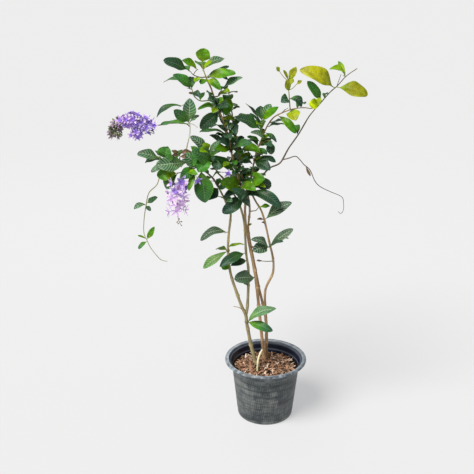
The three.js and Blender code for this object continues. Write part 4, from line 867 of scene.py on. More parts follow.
def small_leaves(stems, draw):
    """The listed small leaves and a pair of young leaves at each axil of the crown."""
    for carrier, near, *leaf in SMALL_LEAVES:
        points = np.concatenate([stem["path"] for stem in grown(stems, carrier)])
        base = points[np.linalg.norm(points - near, axis=1).argmin()]
        yield [base, *leaf]
    for carrier, low, high, step in AXIL_STEMS:
        path = grown(stems, carrier)[0]["path"]
        for height in np.arange(low, high, step):
            base = path[np.abs(path[:, 2] - height + draw.uniform(-4, 4)).argmin()]
            heading = draw.uniform(0, 2 * math.pi)
            for side in (0, math.pi):
                away = heading + side + draw.uniform(-0.5, 0.5)
                size = draw.uniform(*AXIL_SIZES)
                rise = draw.uniform(-0.25, 0.75)
                reach = size * unit([math.cos(away), math.sin(away), rise])
                turn = draw.uniform(*(FRONT_TURNS if reach[1] < 0 else BACK_TURNS))
                yield [base, reach, size * draw.uniform(0.42, 0.58), turn, draw.uniform(0.06, 0.2),
                       AXIL_TONES[draw.integers(len(AXIL_TONES))]]


# Flowers: sizes in millimetres, counts and shares.
LOBE_ROWS = 7
LOBE_THICKNESS = 0.5
STALK_POINTS = 5
PETALS = 5
GOLDEN_ANGLE = math.pi * (3 - math.sqrt(5))
SPENT_RADIUS = 13
SPENT_CROWDING = 1.5
HANGING_CROWDING = 0.72
BUDS_BEGIN = 0.86
BUD_LENGTHS = (9, 13)
BUD_SHARES = (0, 0.3, 0.55, 0.75, 0.92, 1.0)
BUD_RADII = (0.5, 0.55, 1.3, 1.9, 1.5, 0.5)
BUD_SIDES = 7


def add_lobe(skin, root, direction, face, size, width, curl, root_tint, tip_tint):
    """One petal or calyx lobe: a thick strap, round at its tip, that curls out of its plane."""
    along = unit(direction)
    face = square_to(along, face)
    side = np.cross(face, along)
    share = np.linspace(0, 1, LOBE_ROWS)[:, None]
    across = np.array([[1.0, 0.0, -1.0]])
    swell = np.sqrt(np.sin(np.pi * (0.12 + 0.88 * share) ** 1.25).clip(0, 1))
    half = np.maximum(0.5 * width * swell, 0.22)
    lift = curl * size * share ** 2 + 0.30 * half * np.abs(across)
    top = (root + along * (size * share)[..., None] * np.ones((1, 3, 1))
           + face * (lift + 0.25)[..., None] + side * (half * across)[..., None])
    under = top - face * LOBE_THICKNESS
    tints = blend(root_tint, tip_tint, share * np.ones((1, 6)))
    marks = stacked(share * size, np.linspace(-1, 1, 6)[None], 0.0)
    skin.loops(there_and_back(top, under), tints, marks)


def add_floret(skin, root, out, radius, spin, look, draw):
    """One flower: a thin stalk, five long calyx lobes and, while it is fresh, a small dark corolla."""
    facing = unit(out)
    _, up, side = leaf_frame(facing, 30)
    centre = root + out
    stalk = root + out * np.linspace(0, 1, STALK_POINTS)[:, None]
    skin.tube(stalk, np.linspace(0.5, 0.95, STALK_POINTS), THIN_SIDES, look["stalk"])
    for i in range(PETALS):
        angle = spin + 2 * math.pi * i / PETALS + draw.uniform(-0.12, 0.12)
        lean = look["lean"] + draw.uniform(-0.2, 0.2)
        direction = towards(towards(side, up, angle), facing, lean)
        gain = draw.uniform(0.85, 1.15)
        add_lobe(skin, centre - facing * 0.6, direction, facing, radius * draw.uniform(0.9, 1.05),
                 look["width"] * radius, look["curl"] + draw.uniform(-0.12, 0.12),
                 look["base"] * gain, look["tip"] * gain)
        if look["corolla"] is None:
            continue
        direction = towards(side, up, angle + math.pi / PETALS) * 0.8 + facing * 0.6
        pale = blend(look["corolla"], look["base"], 0.6 if i == 0 else 0.1)
        add_lobe(skin, centre + facing * 0.9, direction, facing, radius * 0.46, radius * 0.36, -0.1,
                 pale, look["corolla"])


def add_bud(skin, root, out, tint):
    """A closed bud: a short stalk that swells to a blunt club."""
    skin.tube(root + out * np.array(BUD_SHARES)[:, None], BUD_RADII, BUD_SIDES, tint)


def floret_look(node, share, draw):
    """How the flowers of a raceme look at a place along it, from where they begin to where they end."""
    flowers = bpy.context.scene.vine_flowers
    violet, lilac, blush_and_highlight, mauve, withered = hues(flowers, "violet", "lilac", "blush_and_highlight", "mauve",
                                                 "withered")
    look = {"stalk": blend(violet, withered, 0.5), "lean": 0.25, "curl": 0.12, "width": 0.31,
            "size": 1.0, "base": violet, "tip": lilac, "corolla": violet * 0.8}
    if node == "raceme_left":
        older = smooth(0.45, 1.0, share) * draw.uniform(0.3, 1)
        look["base"] = blend(violet, mauve * 0.8, older)
        # Painted highlight: some lobe tips of the left raceme are whitened towards the blush, standing
        # for glints of light.
        look["tip"] = blend(blend(lilac, blush_and_highlight, draw.uniform(0, 1) ** 2), mauve, older * 0.6)
        if share < 0.16 and draw.uniform() < 0.7:
            look["base"] = blend(violet, withered * 0.4, 0.7)
            look["tip"] = blend(lilac, withered * 0.8, 0.7)
    elif node == "raceme_hanging":
        low = smooth(0.35, 0.85, share)
        look["base"] = blend(blush_and_highlight, mauve, draw.uniform(0.2, 0.7) + 0.2 * low)
        look["base"] = blend(look["base"], violet, (1 - share) * draw.uniform(0, 0.9))
        look["tip"] = blend(blush_and_highlight, lilac, draw.uniform(0, 1) ** 1.5)
        look["tip"] = blend(look["tip"], mauve * [1.5, 1.3, 1.5], low * draw.uniform(0.1, 0.8))
        look["width"] = 0.36 - 0.12 * share
        look["size"] = 1.14 - 0.12 * share
        look["curl"] = draw.uniform(-0.1, 0.25)
        if share > 0.4:
            look["corolla"] = None
    else:
        look["stalk"] = blend(bpy.context.scene.vine_leaves.lime, withered, 0.4)
    return look


def spent_look(draw):
    """How a flower looks past flowering: dull green, grey or brown lobes that close up."""
    flowers = bpy.context.scene.vine_flowers
    withered, dead, mauve = hues(flowers, "withered", "dead", "mauve")
    tip = withered * draw.uniform(0.7, 1.7)
    if draw.uniform() < 0.5:
        tip = blend(withered * 1.3, mauve, draw.uniform(0.3, 0.9))
    return {"stalk": withered * 0.6, "lean": draw.uniform(0.1, 0.8), "curl": 0.4, "width": 0.42,
            "size": 1.0, "base": blend(withered * 0.45, dead, draw.uniform(0, 0.4)), "tip": tip,
            "corolla": None}


def crowding_of(stem, past):
    """How much closer than usual the flowers of a raceme stand."""
    if past:
        return SPENT_CROWDING
    return HANGING_CROWDING if stem["node"] == "raceme_hanging" else 1


def add_flowers(skin, stem, draw):
    """Flowers all round a raceme, a golden angle apart, and closed buds towards its tip."""
    flowers = bpy.context.scene.vine_flowers
    begin, end, count, standing, radius, buds = stem["rest"]
    path = stem["path"]
    tangents = unit(np.gradient(path, axis=0))
    single = count == 1
    past = radius <= SPENT_RADIUS
    total = 1 if single else int(count * flowers.density * crowding_of(stem, past))
    for i in range(total + buds):
        along_open = (i + (0 if single else 0.5)) / total
        share = begin + (end - begin) * along_open
        if i >= total:
            share = BUDS_BEGIN + (1 - BUDS_BEGIN) * (i - total) / buds
        at = min(len(path) - 1, int(round(min(1, share) * (len(path) - 1))))
        along, up, side = leaf_frame(tangents[at], 60)
        angle = GOLDEN_ANGLE * i + draw.uniform(0, 0.7)
        out = along if single else unit(towards(up, side, angle) + along * 0.3)
        look = spent_look(draw) if past else floret_look(stem["node"], along_open, draw)
        if i < total:
            add_floret(skin, path[at], out * standing * look["size"] * draw.uniform(0.6, 1.12),
                       radius * look["size"] * draw.uniform(0.85, 1.1), draw.uniform(0, 2), look, draw)
        else:
            tint = blend(flowers.withered, flowers.dead, 0.6)
            add_bud(skin, path[at], out * draw.uniform(*BUD_LENGTHS), tint)


# Form of a stem: shares of its radius, and the distance between two pairs of leaf scars.
BARK_ROUGHNESS = 0.06
CANE_SWELL = 0.16
SHOOT_SWELL = 0.1
SCAR_HEIGHT = 0.3
NODE_SPACING = 62

# A joint: half its length and how far it swells, in millimetres.
JOINT_HALF = 4.2
JOINT_SWELL = 1.9
JOINT_POINTS = 9
JOINT_SIDES = 12


def add_cane(skin, stem, tint_low, tint_high, sides, draw, knots):
    """A stem: it tapers, wanders in and out a little, and swells at each pair of old leaf scars."""
    path = stem["path"]
    run = run_along(path)
    share = run / run[-1]
    radii = radius_of(stem, share)
    swell = np.zeros(len(path))
    scars = np.arange(NODE_SPACING * 0.4, run[-1], NODE_SPACING) + draw.uniform(-10, 10)
    phases = draw.uniform(0, PHASE, 4)
    turns = draw.uniform(0, PHASE, len(scars) + 1)
    for place in scars:
        swell = swell + bell(run - place, 4.5)
    radii = radii * (1 + (CANE_SWELL if knots else SHOOT_SWELL) * swell)
    radii = radii * (1 + 0.035 * np.sin(run / 17 + phases[0]) + 0.025 * np.sin(run / 7.3 + phases[1]))

    def bumps(angles):
        rough = np.sin(3 * angles[None] + run[:, None] / 23 + phases[2])
        rough = rough + 0.6 * np.sin(5 * angles[None] - run[:, None] / 11 + phases[3])
        out = BARK_ROUGHNESS * radii[:, None] * rough
        if not knots:
            return out
        for place, turn in zip(scars, turns):
            for side in (0, math.pi):
                away = np.angle(np.exp(1j * (angles[None] - turn - side)))
                near = bell(away, 0.42) * bell(run[:, None] - place, 2.6)
                out = out + SCAR_HEIGHT * radii[:, None] * near
        return out

    tint = blend(tint_low, tint_high, share)
    mottle = 1 + 0.16 * np.sin(run / 31 + phases[1]) + 0.10 * np.sin(run / 9.1 + phases[0])
    tint = tint * mottle[:, None] * (1 + 0.35 * np.clip(swell, 0, 1))[:, None]
    skin.tube(path, radii, sides, tint, finish=1, bumps=bumps)


def add_joint(skin, stem, tint):
    """A swollen joint on the stem that carries a pair or whorl of leaves."""
    carrier, at = stem["seat"]
    path = carrier["path"]
    low = max(0, at - 1)
    high = min(len(path) - 1, at + 1)
    along = unit(path[high] - path[low])
    way = np.linspace(-1, 1, JOINT_POINTS)
    radii = radius_of(carrier, at / (len(path) - 1)) + JOINT_SWELL * (1 - way ** 2) ** 0.8 - 0.1
    skin.tube(path[at] + along * (JOINT_HALF * way)[:, None], radii, JOINT_SIDES, tint, finish=1)


# Skins of the leafy shoots that differ from the plain olive-brown, as screens show them.
SHOOT_TINTS = {
    "left_upper_spray": (190, 190, 160),
    "top_spray": (150, 140, 84),
    "upper_left_spray": (150, 150, 96),
    "runner_right": (92, 84, 62),
    "tendril_right": (78, 68, 58),
    "arching_branch": (150, 124, 84),
    "upright_young_shoot": (158, 142, 52),
    "runner_left": (136, 132, 78),
    "left_branch": (104, 84, 58),
    "basal_dry_twig": (150, 116, 78),
    "dried_cluster": (96, 60, 48),
    "raceme_left": (96, 84, 66),
    "raceme_hanging": (164, 122, 138),
    "single_flower_left": (196, 206, 130),
    "single_flower_right": (120, 130, 90),
}

DRY_NODES = ("basal_dry_twig", "dried_cluster", "old_stub")

# Barks of the canes, at the foot and at the tip.
CANE_TINTS = {
    "cane_left": ((152, 142, 108), (152, 140, 98)),
    "cane_front": ((188, 152, 114), (180, 150, 112)),
    "cane_back": ((168, 140, 108), (164, 140, 104)),
    "cane_right": ((172, 140, 106), (162, 140, 102)),
    "old_stub": ((146, 148, 86), (250, 240, 206)),
}


def finish_piece(piece, node, slot):
    """Ties a piece to the frame: it rides with the plant and stands for its solid."""
    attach(piece, "root")
    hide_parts(node)


def slot_of(node, usual):
    """The material slot of a node: dry pieces share one of their own."""
    return "dried_stem" if node in DRY_NODES else usual


def revolve(profile, sides):
    """Rings of points of a closed profile turned round the vertical axis."""
    radius, height = np.hsplit(np.asarray(profile, float), 2)
    angles = around(sides)
    return stacked(radius * np.cos(angles), radius * np.sin(angles), height), angles


def fine_line(points, step):
    """The same open line with a point for every so many millimetres, its corners kept."""
    fine = [np.asarray(points[0], float)]
    for a, b in zip(points, points[1:]):
        a = np.asarray(a, float)
        b = np.asarray(b, float)
        count = max(1, int(round(np.linalg.norm(b - a) / step)))
        fine += [a + (b - a) * (i + 1) / count for i in range(count)]
    return np.array(fine)


def arc(centre, radius, start, end, count):
    """Points of a round stretch of a profile, by its centre, radius and angles in degrees."""
    turns = np.radians(np.linspace(start, end, count))
    return [(centre[0] + radius * math.cos(t), centre[1] + radius * math.sin(t)) for t in turns]


# The pot's moulding: counts, and sizes in millimetres.
POT_SIDES = 540
BAND_HEIGHT = 23
RIB_COUNT = 90
DRAIN_COUNT = 8
DRAIN_RADIUS = 6
DRAIN_CIRCLE = 66
DRAIN_SIDES = 24
FLOOR = 4
RIM_DEPTH = 6
LEDGE = 8

# Heights between which the slight warp of the mouth sets in.
WARP_HEIGHTS = (165, 198)

# Colour, dust, and wear with painted glints of each stretch of the section, in the order of pot_profile.
# Painted shade: the two inside stretches take the dark inside colour.
COLOUR_BY_ZONE = ("plastic", "plastic", "plastic", "rim", "rim", "inside", "inside")
DUST_BY_ZONE = (1.0, 1.0, 0.9, 1.0, 1.0, 0.08, 0.0)
WEAR_AND_GLINT_BY_ZONE = (0, 0, 0.15, 0.75, 1.0, 0, 0)


def pot_profile(pot):
    """Half of the pot's section: up the outer wall, over the rolled rim and down the inner wall."""
    sizes = (pot.base_radius, pot.wall_top_radius, pot.collar_radius, pot.rim_radius,
             pot.mouth_radius, pot.height, pot.wall)
    base, top, collar_radius, rim_radius, mouth, height, wall = (size / MM for size in sizes)
    collar = height - pot.collar_depth / MM
    rim = height - RIM_DEPTH
    outer = [(0.5, 1.2), (base - 14, 1.2), (base - 11, 0)] + arc((base - 5, 5), 5, -90, -10, 6)
    wall_line = [(base + 0.4, 8), (top, collar - 3)]
    collar_line = [(collar_radius - 1, collar), (collar_radius, collar + 3),
                   (collar_radius + 3, rim - 4)]
    roll = [(rim_radius - 4, rim - 0.4)] + arc((rim_radius - 2, rim + 1.6), 2, -70, 0, 5)
    roll += arc((rim_radius - 3.4, height - 3.4), 3.4, 5, 90, 8)
    mouth_edge = [(mouth + 4, height)] + arc((mouth + 3, height - 2.4), 2.4, 95, 180, 6)
    inner = [(mouth, height - LEDGE + 2), (mouth - 1.5, height - LEDGE + 0.5),
             (collar_radius + 1.5, height - LEDGE - 1), (collar_radius - wall, collar + 6),
             (collar_radius - wall - 0.6, collar + 4.6), (top - wall + 0.4, collar + 2),
             (top - wall, collar - 2)]
    floor = [(base - wall, FLOOR + 4)] + arc((base - wall - 4, FLOOR + 4), 4, 0, -90, 5)
    floor.append((0.5, FLOOR))
    return outer, wall_line, collar_line, roll, mouth_edge, inner, floor


def pot_mesh(pot):
    """The pot's shell with its moulded basket relief, its grooves darkened with dirt and painted shade,
    as rings round the axis.
    """
    outer, wall_line, collar_line, roll, mouth_edge, inner, floor = pot_profile(pot)
    line = [outer, fine_line(wall_line, 2), fine_line(collar_line, 3), roll, mouth_edge,
            fine_line(inner, 4), floor]
    profile = np.vstack(line)
    zone = np.repeat(range(len(line)), [len(stretch) for stretch in line])
    rings, angles = revolve(profile, POT_SIDES)
    height = profile[:, 1]
    low, high = wall_line[0][1], wall_line[1][1]
    outside = (zone == 1) * smooth(low, low + 6, height) * (1 - smooth(high - 6, high, height))
    band = height / BAND_HEIGHT + 0.4
    groove = bell(band - np.round(band), 0.13)
    shift = 0.5 * (np.round(band + 0.5)[:, None] % 2)
    rib = np.abs(np.sin(np.pi * (angles[None] * RIB_COUNT / (2 * np.pi) + shift))) ** 0.6
    raised = rib * (1 - groove)[:, None]
    relief = pot.relief / MM * outside[:, None] * (raised - 0.6)
    warp = 0.7 * np.sin(2 * angles + 0.6) + 0.35 * np.sin(3 * angles + 2.1)
    sag = smooth(*WARP_HEIGHTS, height)[:, None] * warp[None]
    outward = stacked(np.cos(angles), np.sin(angles), 0.0)
    rings = rings + outward[None] * (relief + sag)[..., None]
    tints = np.array(hues(pot, *COLOUR_BY_ZONE))[zone][:, None]
    # Painted highlights: thin pale lines on the inner ledges and a pale band all round the mouth's edge
    # stand for glints of light.
    painted_glint = 0.22 * bell(height - (pot.height / MM - LEDGE), 0.9)
    painted_glint = painted_glint + 0.34 * bell(height - (pot.height - pot.collar_depth) / MM - 4, 1.2)
    painted_glint = (zone == 5) * np.clip(painted_glint, 0, 1) + (zone == 4) * 0.55
    tints = blend(tints, pot.glint_and_scuff, painted_glint[:, None])
    # Painted shade: the grooves between the ribs are darkened, as dirt and as the shade the shallow
    # relief would cast.
    groove_dirt_and_shade = outside[:, None] * (1 - raised) * 0.75
    tints = blend(tints * np.ones((1, POT_SIDES, 1)), pot.groove_shade_and_dirt, groove_dirt_and_shade)
    dusty = np.array(DUST_BY_ZONE)[zone][:, None] * (1 - 0.7 * groove_dirt_and_shade)
    wear_and_glint = np.array(WEAR_AND_GLINT_BY_ZONE)[zone][:, None]
    skin = Skin()
    skin.loops(rings, tints, stacked(dusty, wear_and_glint, 0.0))
    return skin


def drilled(piece, cutters):
    """The piece with the cutters' shapes taken out of it."""
    collection = bpy.data.collections.new("drain_cutters")
    bpy.context.scene.collection.children.link(collection)
    for cutter in cutters:
        bpy.context.scene.collection.objects.unlink(cutter)
        collection.objects.link(cutter)
    cut = piece.modifiers.new("drains", "BOOLEAN")
    cut.operand_type = "COLLECTION"
    cut.collection = collection
    cut.operation = "DIFFERENCE"
    cut.solver = "EXACT"
    bpy.context.view_layer.update()
    view = bpy.context.evaluated_depsgraph_get()
    mesh = bpy.data.meshes.new_from_object(piece.evaluated_get(view))
    piece.modifiers.clear()
    piece.data = mesh
    for cutter in cutters:
        bpy.data.objects.remove(cutter)
    bpy.data.collections.remove(collection)


# The body of the mix: its gap to the wall, its lumps and its calm edge, in millimetres.
MIX_SIDES = 200
WALL_GAP = 0.3
LUMP_HEIGHT = 1.9
CALM_EDGE = 8


def mix_height(mix, edge, x, y):
    """Height of the mix's surface: a low heap round the canes with lumps and hollows."""
    radius = np.hypot(x, y)
    heap = np.cos(np.pi * np.clip(radius / edge, 0, 1) / 2) ** 2
    lumps = np.sin(x / 9.1 + 1.3) * np.sin(y / 7.7 + 0.4) + 0.7 * np.sin(x / 4.3 + y / 5.1)
    lumps = lumps + 0.8 * np.sin(y / 15 - x / 21 + 2) + 0.4 * np.sin(x / 2.3) * np.sin(y / 2.1)
    calm = 1 - smooth(edge - CALM_EDGE, edge, radius)
    return mix.level / MM + mix.heap / MM * heap + LUMP_HEIGHT * lumps * calm


def mix_skin(mix, pot):
    """The mix as one body, from its rough surface down the pot's wall to the pot's floor."""
    wall = pot.wall / MM
    high_radius = pot.wall_top_radius / MM - wall
    low_radius = pot.base_radius / MM - wall
    collar = (pot.height - pot.collar_depth) / MM
    slope = (high_radius - low_radius) / (collar - 3 - FLOOR)
    edge = low_radius + slope * (mix.level / MM - FLOOR) - WALL_GAP
    radii = np.concatenate([np.linspace(0.8, edge - 4, 56), [edge - 2, edge]])
    angles = around(MIX_SIDES)
    x = radii[:, None] * np.cos(angles)
    y = radii[:, None] * np.sin(angles)
    surface = stacked(x, y, mix_height(mix, edge, x, y))[::-1]
    down = [(edge - 0.4, mix.level / MM - 4), (low_radius - WALL_GAP - 0.3, FLOOR + 5),
            (low_radius - 4.5, FLOOR + WALL_GAP), (0.8, FLOOR + WALL_GAP)]
    sides, _ = revolve(down[::-1], MIX_SIDES)
    loops = np.concatenate([sides, surface])
    skin = Skin()
    draw = np.random.default_rng(CRUMB_SEED)
    # Painted shade: the body under the chips takes the dark crumb colour, which also stands for the shade
    # between them.
    tints = np.array(mix.dark) * draw.uniform(0.4, 1.5, loops.shape[:2])[..., None]
    skin.loops(loops, tints, loops * 0.1)
    return skin, edge


# Chips and fibres: sizes in millimetres, counts, and the share of chips that are pale.
CHIP_RING = 6
PALE_CHIPS = 0.32
CHIP_LENGTHS = (9, 30)
CHIP_WIDTHS = (3.5, 9)
CHIP_THICKNESSES = (1.6, 4)
PALE_CHIP_SCALE = (0.9, 0.6, 0.6)
FIBRE_LENGTHS = (12, 34)
FIBRE_RADIUS = 0.32
FIBRE_POINTS = 9
FIBRE_SIDES = 5
CHIP_ROWS = np.array([[-1, 0.5], [-0.72, 0.95], [0.1, 1.0], [0.74, 0.9], [1, 0.45]])


def turned(angle, first, second):
    """The rotation by an angle from one axis, numbered from 0 to 2, towards another."""
    made = np.eye(3)
    made[first, first] = made[second, second] = math.cos(angle)
    made[second, first] = math.sin(angle)
    made[first, second] = -math.sin(angle)
    return made


def add_chip(skin, centre, size, turn, lean, tint, draw):
    """One bark chip: a rough flake with broken ends, turned and leaned on the surface."""
    long_half, wide_half, thick_half = (0.5 * s for s in size)
    rows = len(CHIP_ROWS)
    angles = around(CHIP_RING) + 0.4
    jitter = draw.uniform(0.72, 1.2, (rows, CHIP_RING))
    side = wide_half * np.cos(angles)[None] * CHIP_ROWS[:, 1:] * jitter
    up = thick_half * np.sin(angles)[None] * CHIP_ROWS[:, 1:] * jitter
    along = long_half * (CHIP_ROWS[:, :1] + draw.uniform(-0.1, 0.1, (rows, CHIP_RING)))
    local = stacked(along, side, up)
    roll = draw.uniform(-0.5, 0.5)
    loops = centre + local @ (turned(turn, 0, 1) @ turned(lean, 0, 2) @ turned(roll, 1, 2)).T
    tints = np.asarray(tint) * draw.uniform(0.85, 1.15, (rows, CHIP_RING))[..., None]
    marks = local * [0.25, 1, 1] + draw.uniform(0, 50)
    skin.loops(loops, tints, marks, finish=1)


def add_chips(skin, mix, edge, draw):
    """Chips and pale husks strewn over the mix at all slants; the dark crumb, partly painted shade, shows
    in the hollows between them.
    """
    for _ in range(mix.chips):
        angle = draw.uniform(0, 2 * math.pi)
        radius = (edge - 9) * math.sqrt(draw.uniform(0.002, 1))
        pale = draw.uniform() < PALE_CHIPS
        size = np.array([draw.uniform(*CHIP_LENGTHS), draw.uniform(*CHIP_WIDTHS),
                         draw.uniform(*CHIP_THICKNESSES)])
        tint = blend(mix.bark, mix.dark, draw.uniform(0, 0.75)) * draw.uniform(0.8, 1.35)
        if pale:
            size *= PALE_CHIP_SCALE
            tint = blend(mix.pale, mix.bark, draw.uniform(0, 0.55))
        lean = draw.normal(0, 0.38)
        reach = 0.5 * size[0] * math.cos(lean)
        radius = min(radius, edge - 1.5 - reach)
        x, y = radius * math.cos(angle), radius * math.sin(angle)
        z = float(mix_height(mix, edge, x, y)) + 0.35 * size[2] + draw.uniform(-0.5, 2.4)
        z += 0.25 * size[0] * abs(math.sin(lean))
        add_chip(skin, np.array([x, y, z]), size, draw.uniform(0, math.pi), lean, tint, draw)


def add_fibres(skin, mix, edge, draw):
    """Coir fibres: thin bent hairs that lie on the chips."""
    share = np.linspace(0, 1, FIBRE_POINTS)
    for _ in range(mix.fibres):
        angle = draw.uniform(0, 2 * math.pi)
        radius = (edge - 26) * math.sqrt(draw.uniform(0, 1))
        start = np.array([radius * math.cos(angle), radius * math.sin(angle)])
        heading = draw.uniform(0, 2 * math.pi)
        size = draw.uniform(*FIBRE_LENGTHS)
        turn = heading + draw.uniform(-2.2, 2.2) * share
        steps = stacked(np.cos(turn), np.sin(turn))
        flat = start + np.cumsum(steps, axis=0) * size / FIBRE_POINTS
        flat *= np.minimum(1, (edge - 2) / np.maximum(np.hypot(*flat.T), 1))[:, None]
        rise = 3.2 + draw.uniform(0.5, 4.5) * np.sin(np.pi * share)
        path = np.column_stack([flat, mix_height(mix, edge, *flat.T) + rise])
        tint = np.array(mix.bark) * draw.uniform(0.5, 1.5)
        skin.tube(path, np.full(FIBRE_POINTS, FIBRE_RADIUS), FIBRE_SIDES, tint, finish=1)


class Finish:
    """A material in the making: one Principled shader and the nodes that feed it."""

    def __init__(self, name, **constants):
        self.material = bpy.data.materials.new(name)
        self.material.use_nodes = True
        self.tree = self.material.node_tree
        self.shader = self.tree.nodes["Principled BSDF"]
        self.fill(self.shader, **constants)

    def put(self, kind, *inputs, **settings):
        """A node with its first inputs filled in, each by another node's output or by a value."""
        made = self.tree.nodes.new("ShaderNode" + kind)
        for name, value in settings.items():
            setattr(made, name, value)
        for socket, value in zip(made.inputs, inputs):
            self.feed(socket, value)
        return made

    def feed(self, socket, value):
        """Links a socket to another node's output, or sets its value."""
        if isinstance(value, bpy.types.NodeSocket):
            self.tree.links.new(value, socket)
        else:
            socket.default_value = value

    def fill(self, node, **values):
        """Feeds sockets of a node by their names, with an underscore for each space."""
        for socket, value in values.items():
            self.feed(node.inputs[socket.replace("_", " ")], value)

    def tint(self):
        """The tint that the mesh carries at each of its points."""
        return self.put("Attribute", attribute_name="tint").outputs["Color"]

    def mark(self):
        """Where each point lies on its leaf, stem, petal or chip."""
        return self.put("Attribute", attribute_name="mark").outputs["Vector"]

    def place(self):
        return self.put("TexCoord").outputs["Object"]

    def scaled(self, vector, *factors):
        """A vector whose three parts are each multiplied, to stretch a pattern."""
        return self.put("VectorMath", vector, factors, operation="MULTIPLY").outputs[0]

    def maths(self, operation, *inputs):
        return self.put("Math", *inputs, operation=operation).outputs[0]

    def noise(self, vector, scale, detail=4.0, roughness=0.6):
        made = self.put("TexNoise")
        self.fill(made, Vector=vector, Scale=scale, Detail=detail, Roughness=roughness)
        return made.outputs["Fac"]

    def cells(self, vector, scale, feature="F1"):
        made = self.put("TexVoronoi", feature=feature)
        self.fill(made, Vector=vector, Scale=scale)
        return made.outputs["Distance"]

    def between(self, value, low, high, out_low=0.0, out_high=1.0):
        """A value's way from low to high, eased, as a number from out_low to out_high."""
        made = self.put("MapRange", value, low, high, out_low, out_high,
                        interpolation_type="SMOOTHSTEP")
        return made.outputs[0]

    def mixed(self, share, first, second):
        made = self.put("Mix", data_type="RGBA")
        self.feed(made.inputs[0], share)
        self.feed(made.inputs[6], first)
        self.feed(made.inputs[7], second)
        return made.outputs[2]

    def brightened(self, colour_socket, gain):
        """A colour made lighter or darker by a number that varies over the surface."""
        made = self.put("VectorMath", colour_socket, operation="SCALE")
        self.fill(made, Scale=gain)
        return made.outputs[0]

    def done(self, colour_socket, roughness=None, height=None, depth=0.0, strength=1.0):
        """The finished material: colour, roughness and a bump of some depth in metres."""
        self.fill(self.shader, Base_Color=colour_socket)
        if height is not None:
            bump = self.put("Bump")
            self.fill(bump, Strength=strength, Distance=depth, Height=height)
            self.fill(self.shader, Roughness=roughness, Normal=bump.outputs[0])
        return self.material


VEIN_AND_SHEEN_WHITE = shade(228, 238, 214)
BARK_DOTS = shade(206, 188, 150)
GLOW_COLOUR = (0.98, 0.985, 1.0)


def opaque(colour_value):
    """A colour as shader sockets take it."""
    return (*colour_value, 1.0)


def leaf_finish():
    """Rough, shining blade: pale sunken midrib and side veins, with a fine net between; their white is
    partly a painted highlight.
    """
    make = Finish("vine_leaf", Specular_IOR_Level=0.2)
    tint = make.tint()
    split = make.put("SeparateXYZ", make.mark())
    across = make.maths("ABSOLUTE", split.outputs[0])
    strength = split.outputs[2]
    beside = make.maths("PINGPONG", split.outputs[1], 0.5)
    wide = make.maths("MULTIPLY_ADD", strength, 0.13, 0.05)
    side_vein = make.between(beside, 0.0, wide, 1.0, 0.0)
    rib_wide = make.maths("MULTIPLY_ADD", strength, 0.05, 0.045)
    midrib = make.between(across, 0.0, rib_wide, 1.0, 0.0)
    vein = make.maths("MAXIMUM", side_vein, midrib)
    place = make.place()
    cloud = make.noise(place, scale=90.0, detail=3.0)
    fine = make.noise(place, scale=900.0, detail=2.0)
    net = make.cells(place, scale=420.0, feature="DISTANCE_TO_EDGE")
    colour_out = make.brightened(tint, make.between(cloud, 0.3, 0.7, 0.74, 1.26))
    net_line = make.maths("MULTIPLY", make.between(net, 0.0, 0.12, 1.0, 0.0),
                          make.between(strength, 0.10, 0.34, 0.05, 0.16))
    # Painted highlight: the veins and net are whitened, partly as pale veins and partly as glints on the
    # quilted blade.
    vein_and_sheen = make.brightened(tint, 2.0)
    vein_and_sheen = make.mixed(make.maths("MULTIPLY", strength, 0.9), vein_and_sheen, opaque(VEIN_AND_SHEEN_WHITE))
    share = make.maths("MULTIPLY", vein, make.maths("MULTIPLY_ADD", strength, 0.6, 0.3))
    colour_out = make.mixed(make.maths("MAXIMUM", share, net_line), colour_out, vein_and_sheen)
    roughness = make.between(fine, 0.3, 0.7, 0.26, 0.42)
    height = make.maths("MULTIPLY_ADD", vein, -0.5, make.maths("MULTIPLY", fine, 0.35))
    return make.done(colour_out, roughness, height, depth=0.0009, strength=0.8)


def bark_finish():
    """Bark: long streaks, fine cracks and pale raised dots, over the tint of each stem."""
    make = Finish("cane_bark", Specular_IOR_Level=0.3)
    tint = make.tint()
    mark = make.mark()
    streaks = make.scaled(mark, 2.2, 2.2, 0.11)
    streaks = make.noise(streaks, scale=2.4, detail=5.0, roughness=0.68)
    fine = make.noise(make.place(), scale=800.0, detail=3.0)
    dots = make.cells(make.scaled(mark, 2.0, 2.0, 0.34), scale=1.1)
    dots = make.between(dots, 0.10, 0.24, 1.0, 0.0)
    colour_out = make.brightened(tint, make.between(streaks, 0.25, 0.75, 0.55, 1.45))
    colour_out = make.mixed(make.maths("MULTIPLY", dots, 0.55), colour_out, opaque(BARK_DOTS))
    cracks = make.maths("ADD", streaks, make.maths("MULTIPLY", fine, 0.4))
    height = make.maths("MULTIPLY_ADD", dots, 0.5, cracks)
    roughness = make.between(streaks, 0.2, 0.8, 0.82, 0.62)
    return make.done(colour_out, roughness, height, depth=0.0008, strength=0.8)


def shoot_finish():
    """Skin of a young stem: smoother than bark, lightly streaked and downy."""
    make = Finish("shoot_skin", Specular_IOR_Level=0.4, Sheen_Weight=0.15)
    tint = make.tint()
    streaks = make.noise(make.scaled(make.mark(), 1.6, 1.6, 0.10), scale=2.0, detail=3.0)
    colour_out = make.brightened(tint, make.between(streaks, 0.3, 0.7, 0.72, 1.28))
    roughness = make.between(streaks, 0.3, 0.7, 0.48, 0.62)
    return make.done(colour_out, roughness, streaks, depth=0.0004, strength=0.5)


